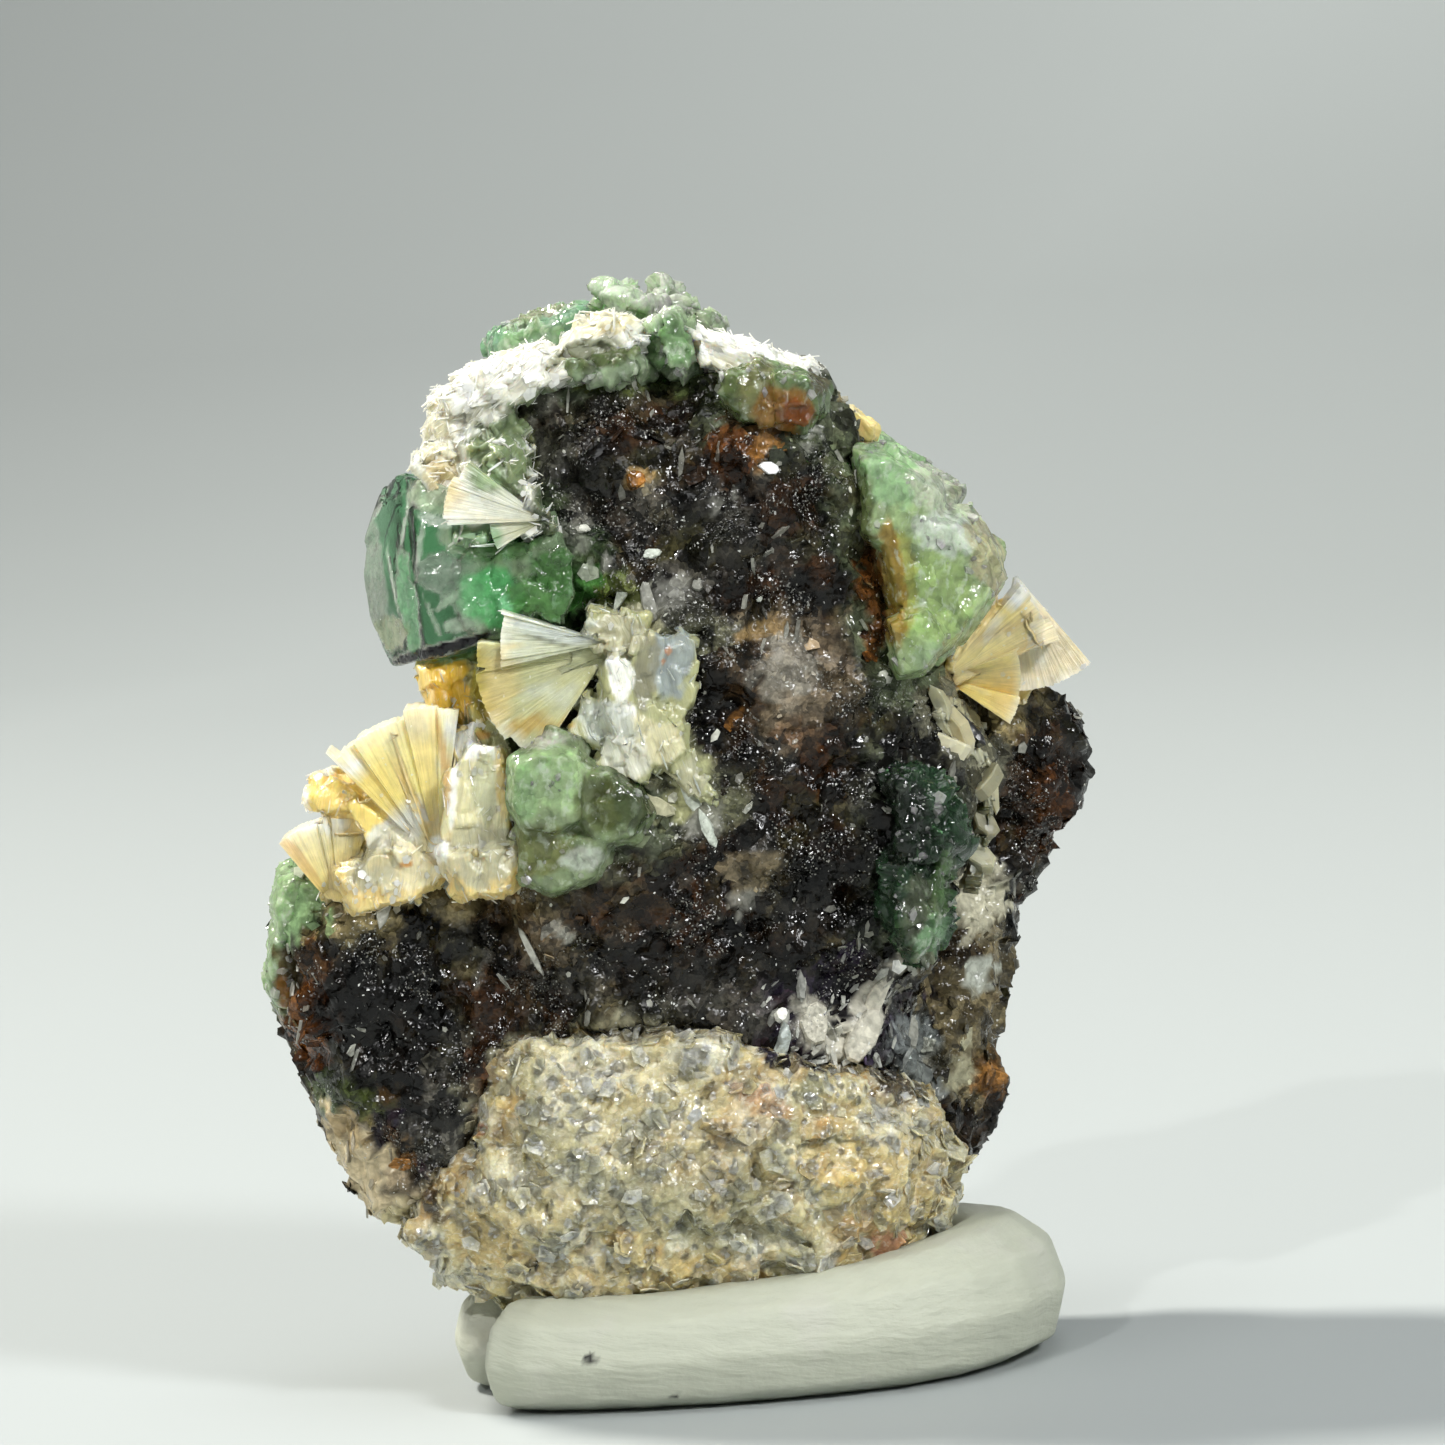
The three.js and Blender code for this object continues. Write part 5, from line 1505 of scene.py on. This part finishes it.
CRYSTALS["fluorite_middle"] = Crystal(DULL_GREEN, sugar=130, cut=0.35, patches=[
    (PEAR, -4.7, 25.2, 1.1, 1.4, 0.95),
    (MELON, -6.2, 24.8, 0.7, 1.6, 0.85),
    (MOSS, -2.2, 24.0, 1.4, 1.2, 0.8),
    (OLIVE_GREEN, -3.2, 24.0, 0.9, 1.4, 0.6),
    (DRAB, -5.6, 22.2, 1.8, 1.0, 0.9, 8),
    (SILVER, -3.9, 21.9, 0.8, 0.5, 0.8),
    (SILK_WHITE, -5.2, 26.6, 1.4, 0.3, 0.8, -4),
])
CRYSTALS["fluorite_left_edge"] = Crystal(PALE_GREEN, sugar=70, swell=0.3, patches=[
    (MID_GREEN, -15.2, 20.6, 0.6, 1.0, 0.3),
    (CHESTNUT, -15.5, 17.4, 1.1, 1.7, 0.9, 10),
    (AMBER, -16.2, 17.0, 0.3, 0.9, 0.5),
    (OLIVE_GREEN, -14.9, 19.2, 0.4, 0.8, 0.6),
])
CRYSTALS["fluorite_right_edge"] = Crystal(DARK_GREEN, sugar=250, cut=2.2, patches=[
    (QUARTZ_GREY, 9.0, 18.6, 0.8, 1.4, 0.3),
    (BLACK_MICA, 8.3, 22.6, 1.3, 1.9, 0.8),
    (BLACK_MICA, 9.6, 20.8, 0.6, 1.2, 0.5),
    (JADE, 9.4, 17.6, 0.6, 1.1, 0.7, -20),
    (QUARTZ_GREY, 9.2, 16.6, 0.6, 0.35, 0.8, -20),
    (MID_GREEN, 10.0, 19.6, 0.5, 1.4, 0.3, -10),
])


def crystal_piece(name, crystal, material, seed):
    """A cloudy crystal: cut and sugared faces with a few bright grains."""
    skin = voxel_skin([solid_of(name)], 0.12, 2, crystal.tint)
    points = skin.points
    skin.push(
        crystal.swell
        + 0.12 * rough(points, 1.6, seed)
        + crystal.cut * facets(points, 1.3, 0.2, 0.14, seed + 1)
        + crystal.cut * facets(points, 0.5, 0.18, 0.08, seed + 4)
    )
    paint(skin, crystal.patches)
    sugary = 0.08 + ramp(0.05, 0.5, rough(skin.points, 1.0, seed + 9))
    flakes = scatter_flakes(
        skin, crystal.sugar, (0.08, 0.6), 0.5, seed + 7, weight=sugary, colour=SILVER, shade=0.15,
        thick=0.4,
    )
    put_down(name + "_crystals", skin, [flakes], material, "green_fluorite", name)


CLOUDS_AND_PAINTED_LIGHT = [
    (PALE_GREEN, -7.4, 36.2, 2.4, 0.8, 0.7),
    (MID_GREEN, -7.6, 34.6, 1.0, 0.8, 0.55),
    (BLUE_GREEN, -8.2, 32.4, 0.6, 0.4, 0.3, 20),
    # Painted glow: light that comes through the crystal from behind, painted bright green.
    (PAINTED_GLOW_EMERALD, -6.6, 32.2, 1.5, 1.1, 0.8, -25),
    (PAINTED_GLOW_MINT, -6.1, 31.9, 0.4, 0.3, 0.8),
    (LEAF_GREEN, -4.8, 32.0, 1.4, 0.8, 0.85, -20),
    (FOREST, -4.0, 33.0, 1.1, 0.9, 0.9, -20),
    (LEAF_GREEN, -6.0, 34.3, 1.4, 0.8, 0.7, 10),
    # Painted reflections: the dark upright strip and the glint strips on the left part; the short glint
    # across the top left edge is a painted highlight.
    (PAINTED_REFLECTION_PINE, -11.4, 33.2, 0.5, 2.6, 0.5, 3),
    (GLINT, -11.2, 35.5, 0.6, 0.12, 0.6, 50),
    (GLINT, -9.9, 35.2, 0.08, 1.1, 0.5, -14),
    (DEEP_EMERALD, -10.0, 32.0, 0.4, 2.1, 0.75, 4),
    (GLINT, -10.6, 33.0, 0.07, 1.3, 0.45, 6),
    (PALE_GLINT, -9.3, 34.4, 0.12, 1.2, 0.45, -12),
    (PALE_GLINT, -8.5, 35.2, 0.9, 0.22, 0.8, -20),
    (SPRUCE, -8.6, 33.2, 0.9, 0.8, 0.75, 10),
    (SOFT_MINT, -8.3, 32.2, 0.9, 0.14, 0.5, 35),
    (SOFT_MINT, -9.0, 31.4, 0.1, 0.8, 0.4, 20),
    (SOFT_MINT, -8.0, 31.2, 0.8, 0.3, 0.5, 10),
    (DRY_OLIVE, -11.0, 30.8, 0.9, 0.7, 0.5, 20),
    (INK, -8.9, 30.2, 2.4, 0.28, 1, 14),
]
SEAM_X = -9.75
SEAM_WIDTH = 0.14


def clear_crystal_piece():
    """The clear crystal, with a seam on its front, cloudy places by its right side, and painted highlights,
    reflections and glow on its front.
    """
    skin = voxel_skin([solid_of("fluorite_left")], 0.13, 5, WHITE)
    points = skin.points
    back = ramp(-0.1, 0.5, skin.normals[:, 1])
    front = ramp(0.1, -0.4, skin.normals[:, 1])
    right = ramp(-8.2, -6.6, points[:, 0])
    seam = points[:, 0] - SEAM_X - 0.3 * swells(points, 2.2, 93)
    skin.push(
        0.05 * rough(points, 3.0, 91)
        + facets(points, 2.6, 0.06, 0.03, 92)
        + 0.45 * back * rough(points, 2.4, 94)
        + right * facets(points, 0.8, 0.35, 0.2, 97)
        - 0.12 * front * np.exp(-((seam / SEAM_WIDTH) ** 2))
    )
    skin.blend(GRASS, 0.8 * right)
    cloud_and_painted_light = 0.6 * right
    for patch, share in patch_shares(skin, CLOUDS_AND_PAINTED_LIGHT, 0.25):
        skin.blend(patch.colour, share * front)
        cloud_and_painted_light = np.maximum(cloud_and_painted_light, share * front)
    vectors = {"cloud_and_painted_light": np.repeat(cloud_and_painted_light[:, None], 3, axis=1)}
    material = clear_fluorite_material()
    put_down("fluorite_left_crystal", skin, [], material, "clear_fluorite", "fluorite_left", vectors)


TACK_GAP = math.radians(160)
TACK_MIDDLE = np.array([-1.0, 0.0])
TACK_SPECKS = ((-5.2, 2.4, 0.28), (-2.0, 0.7, 0.14), (-8.6, 3.0, 0.05))


def tack_piece():
    """The roll of tack, flat underneath, with roll marks and black specks."""
    skin = voxel_skin([solid_of("putty_ring")], 0.22, 8, TACK_GREY)
    points = skin.points
    skin.push(0.05 * rough(points, 2.4, 95) + 0.02 * rough(points, 0.7, 96))
    skin.points[:, 2] = np.where(points[:, 2] > 0, np.maximum(skin.points[:, 2], 0.0), 0.0)
    skin.refresh()
    skin.blend(TACK_PALE, 0.5 * ramp(0.1, 0.6, rough(points, 1.8, 97)))
    for x, z, reach in TACK_SPECKS:
        paint(skin, [(BLACK_MICA, x, z, reach, 0.7 * reach)])
    out = points[:, :2] - TACK_MIDDLE
    angle = np.mod(np.arctan2(out[:, 1], out[:, 0]) + TACK_GAP, 2 * math.pi)
    slanting = points[:, 2] + 1.4 * angle + 0.25 * rough(points, 2.0, 98)
    fibre = np.stack([angle * 4.0, slanting / 0.35, np.hypot(*out.T) / 0.5], axis=1)
    put_down("tack_ring", skin, [], tack_material(), "mineral_tack", "putty_ring", {"fibre": fibre})


# The surroundings.
BOWL_MIDDLE = 0.0005
BOWL_FLAT = 0.35
BOWL_RADIUS = 0.95
BOWL_HEIGHT = 0.8
BOWL_STEPS = 24
BOWL_SIDES = 96


def floor_bowl():
    """A pale floor that curves up all round into a wall."""
    rise = np.radians(np.linspace(0, 90, BOWL_STEPS + 1))
    radius = np.append(BOWL_MIDDLE, BOWL_FLAT + (BOWL_RADIUS - BOWL_FLAT) * np.sin(rise))
    height = np.append(0.0, BOWL_HEIGHT * (1 - np.cos(rise)))
    turn, band = ring(BOWL_SIDES)
    across = np.outer(radius, np.cos(turn))
    along = np.outer(radius, np.sin(turn))
    up = np.outer(height, np.ones(BOWL_SIDES))
    points = np.stack([across, along, up], axis=-1).reshape(-1, 3).tolist()
    faces = [face for row in range(BOWL_STEPS + 1) for face in (row * BOWL_SIDES + band).tolist()]
    faces.append(list(reversed(range(BOWL_SIDES))))
    mesh = bpy.data.meshes.new("floor")
    mesh.from_pydata(points, [], faces)
    mesh.polygons.foreach_set("use_smooth", [True] * len(mesh.polygons))
    mesh.materials.append(floor_material())
    floor = bpy.data.objects.new("floor", mesh)
    bpy.context.scene.collection.objects.link(floor)
    floor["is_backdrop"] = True


def add_light(name, place, size, power, colour, spread, target=(0.0, 0.0, 0.022)):
    """A round soft lamp that points at a target. Its spread is in degrees."""
    light = bpy.data.lights.new(name, "AREA")
    light.shape = "DISK"
    light.size = size
    light.energy = power
    light.color = colour
    light.spread = math.radians(spread)
    lamp = bpy.data.objects.new(name, light)
    lamp.location = place
    lamp.rotation_euler = (Vector(target) - Vector(place)).to_track_quat("-Z", "Y").to_euler()
    lamp.visible_camera = False
    bpy.context.scene.collection.objects.link(lamp)


def add_lights():
    """The lamps, the pale surroundings and how colours are shown."""
    add_light("key", (-0.50, 0.36, 0.80), 0.15, 5.2, (1.0, 0.97, 0.90), 110)
    add_light("front", (0.36, -0.48, 0.42), 0.12, 0.7, (0.98, 0.99, 1.0), 80)
    add_light("glint", (-0.30, -0.50, 0.40), 0.02, 0.16, (1.0, 0.99, 0.97), 60)
    add_light("top", (0.0, -0.05, 0.80), 0.60, 3.5, (0.98, 1.0, 1.0), 180, (0.0, 0.75, 0.10))
    world = bpy.data.worlds.new("studio")
    world.use_nodes = True
    background = world.node_tree.nodes["Background"]
    background.inputs["Color"].default_value = (0.86, 0.92, 0.94, 1.0)
    background.inputs["Strength"].default_value = 0.17
    bpy.context.scene.world = world
    bpy.context.scene.view_settings.view_transform = "Standard"


def add_camera():
    """A camera that looks down a little and is rolled, with its target in the middle."""
    right = Vector((
        math.cos(CAMERA_ROLL),
        -math.sin(CAMERA_ROLL) * math.sin(CAMERA_TILT),
        -math.sin(CAMERA_ROLL) * math.cos(CAMERA_TILT),
    ))
    forward = Vector((0, math.cos(CAMERA_TILT), -math.sin(CAMERA_TILT)))
    up = right.cross(forward)
    data = bpy.data.cameras.new("camera")
    data.sensor_width = CAMERA_SENSOR
    data.lens = CAMERA_SENSOR * CAMERA_DISTANCE / CAMERA_FRAME_WIDTH
    data.clip_start = CAMERA_NEAR * MM
    camera = bpy.data.objects.new("camera", data)
    place = (Vector(CAMERA_TARGET) - CAMERA_DISTANCE * forward) * MM
    camera.matrix_world = Matrix.Translation(place) @ Matrix((right, up, -forward)).transposed().to_4x4()
    bpy.context.scene.collection.objects.link(camera)
    bpy.context.scene.camera = camera


MICA_SEED = 1000
CRYSTAL_SEED = 3000
SEED_STEP = 100

rock_piece()
foot_piece()
for number, (mica_name, mica) in enumerate(MICAS.items()):
    mica_piece(mica_name, mica, MICA_SEED + SEED_STEP * number)
cloudy = green_fluorite_material()
for number, (crystal_name, crystal) in enumerate(CRYSTALS.items()):
    crystal_piece(crystal_name, crystal, cloudy, CRYSTAL_SEED + SEED_STEP * number)
clear_crystal_piece()
tack_piece()
floor_bowl()
add_lights()
add_camera()

boxes = {"cad": cad_box, "visual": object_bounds()}
{name: [list(corner) for corner in box] for name, box in boxes.items()}
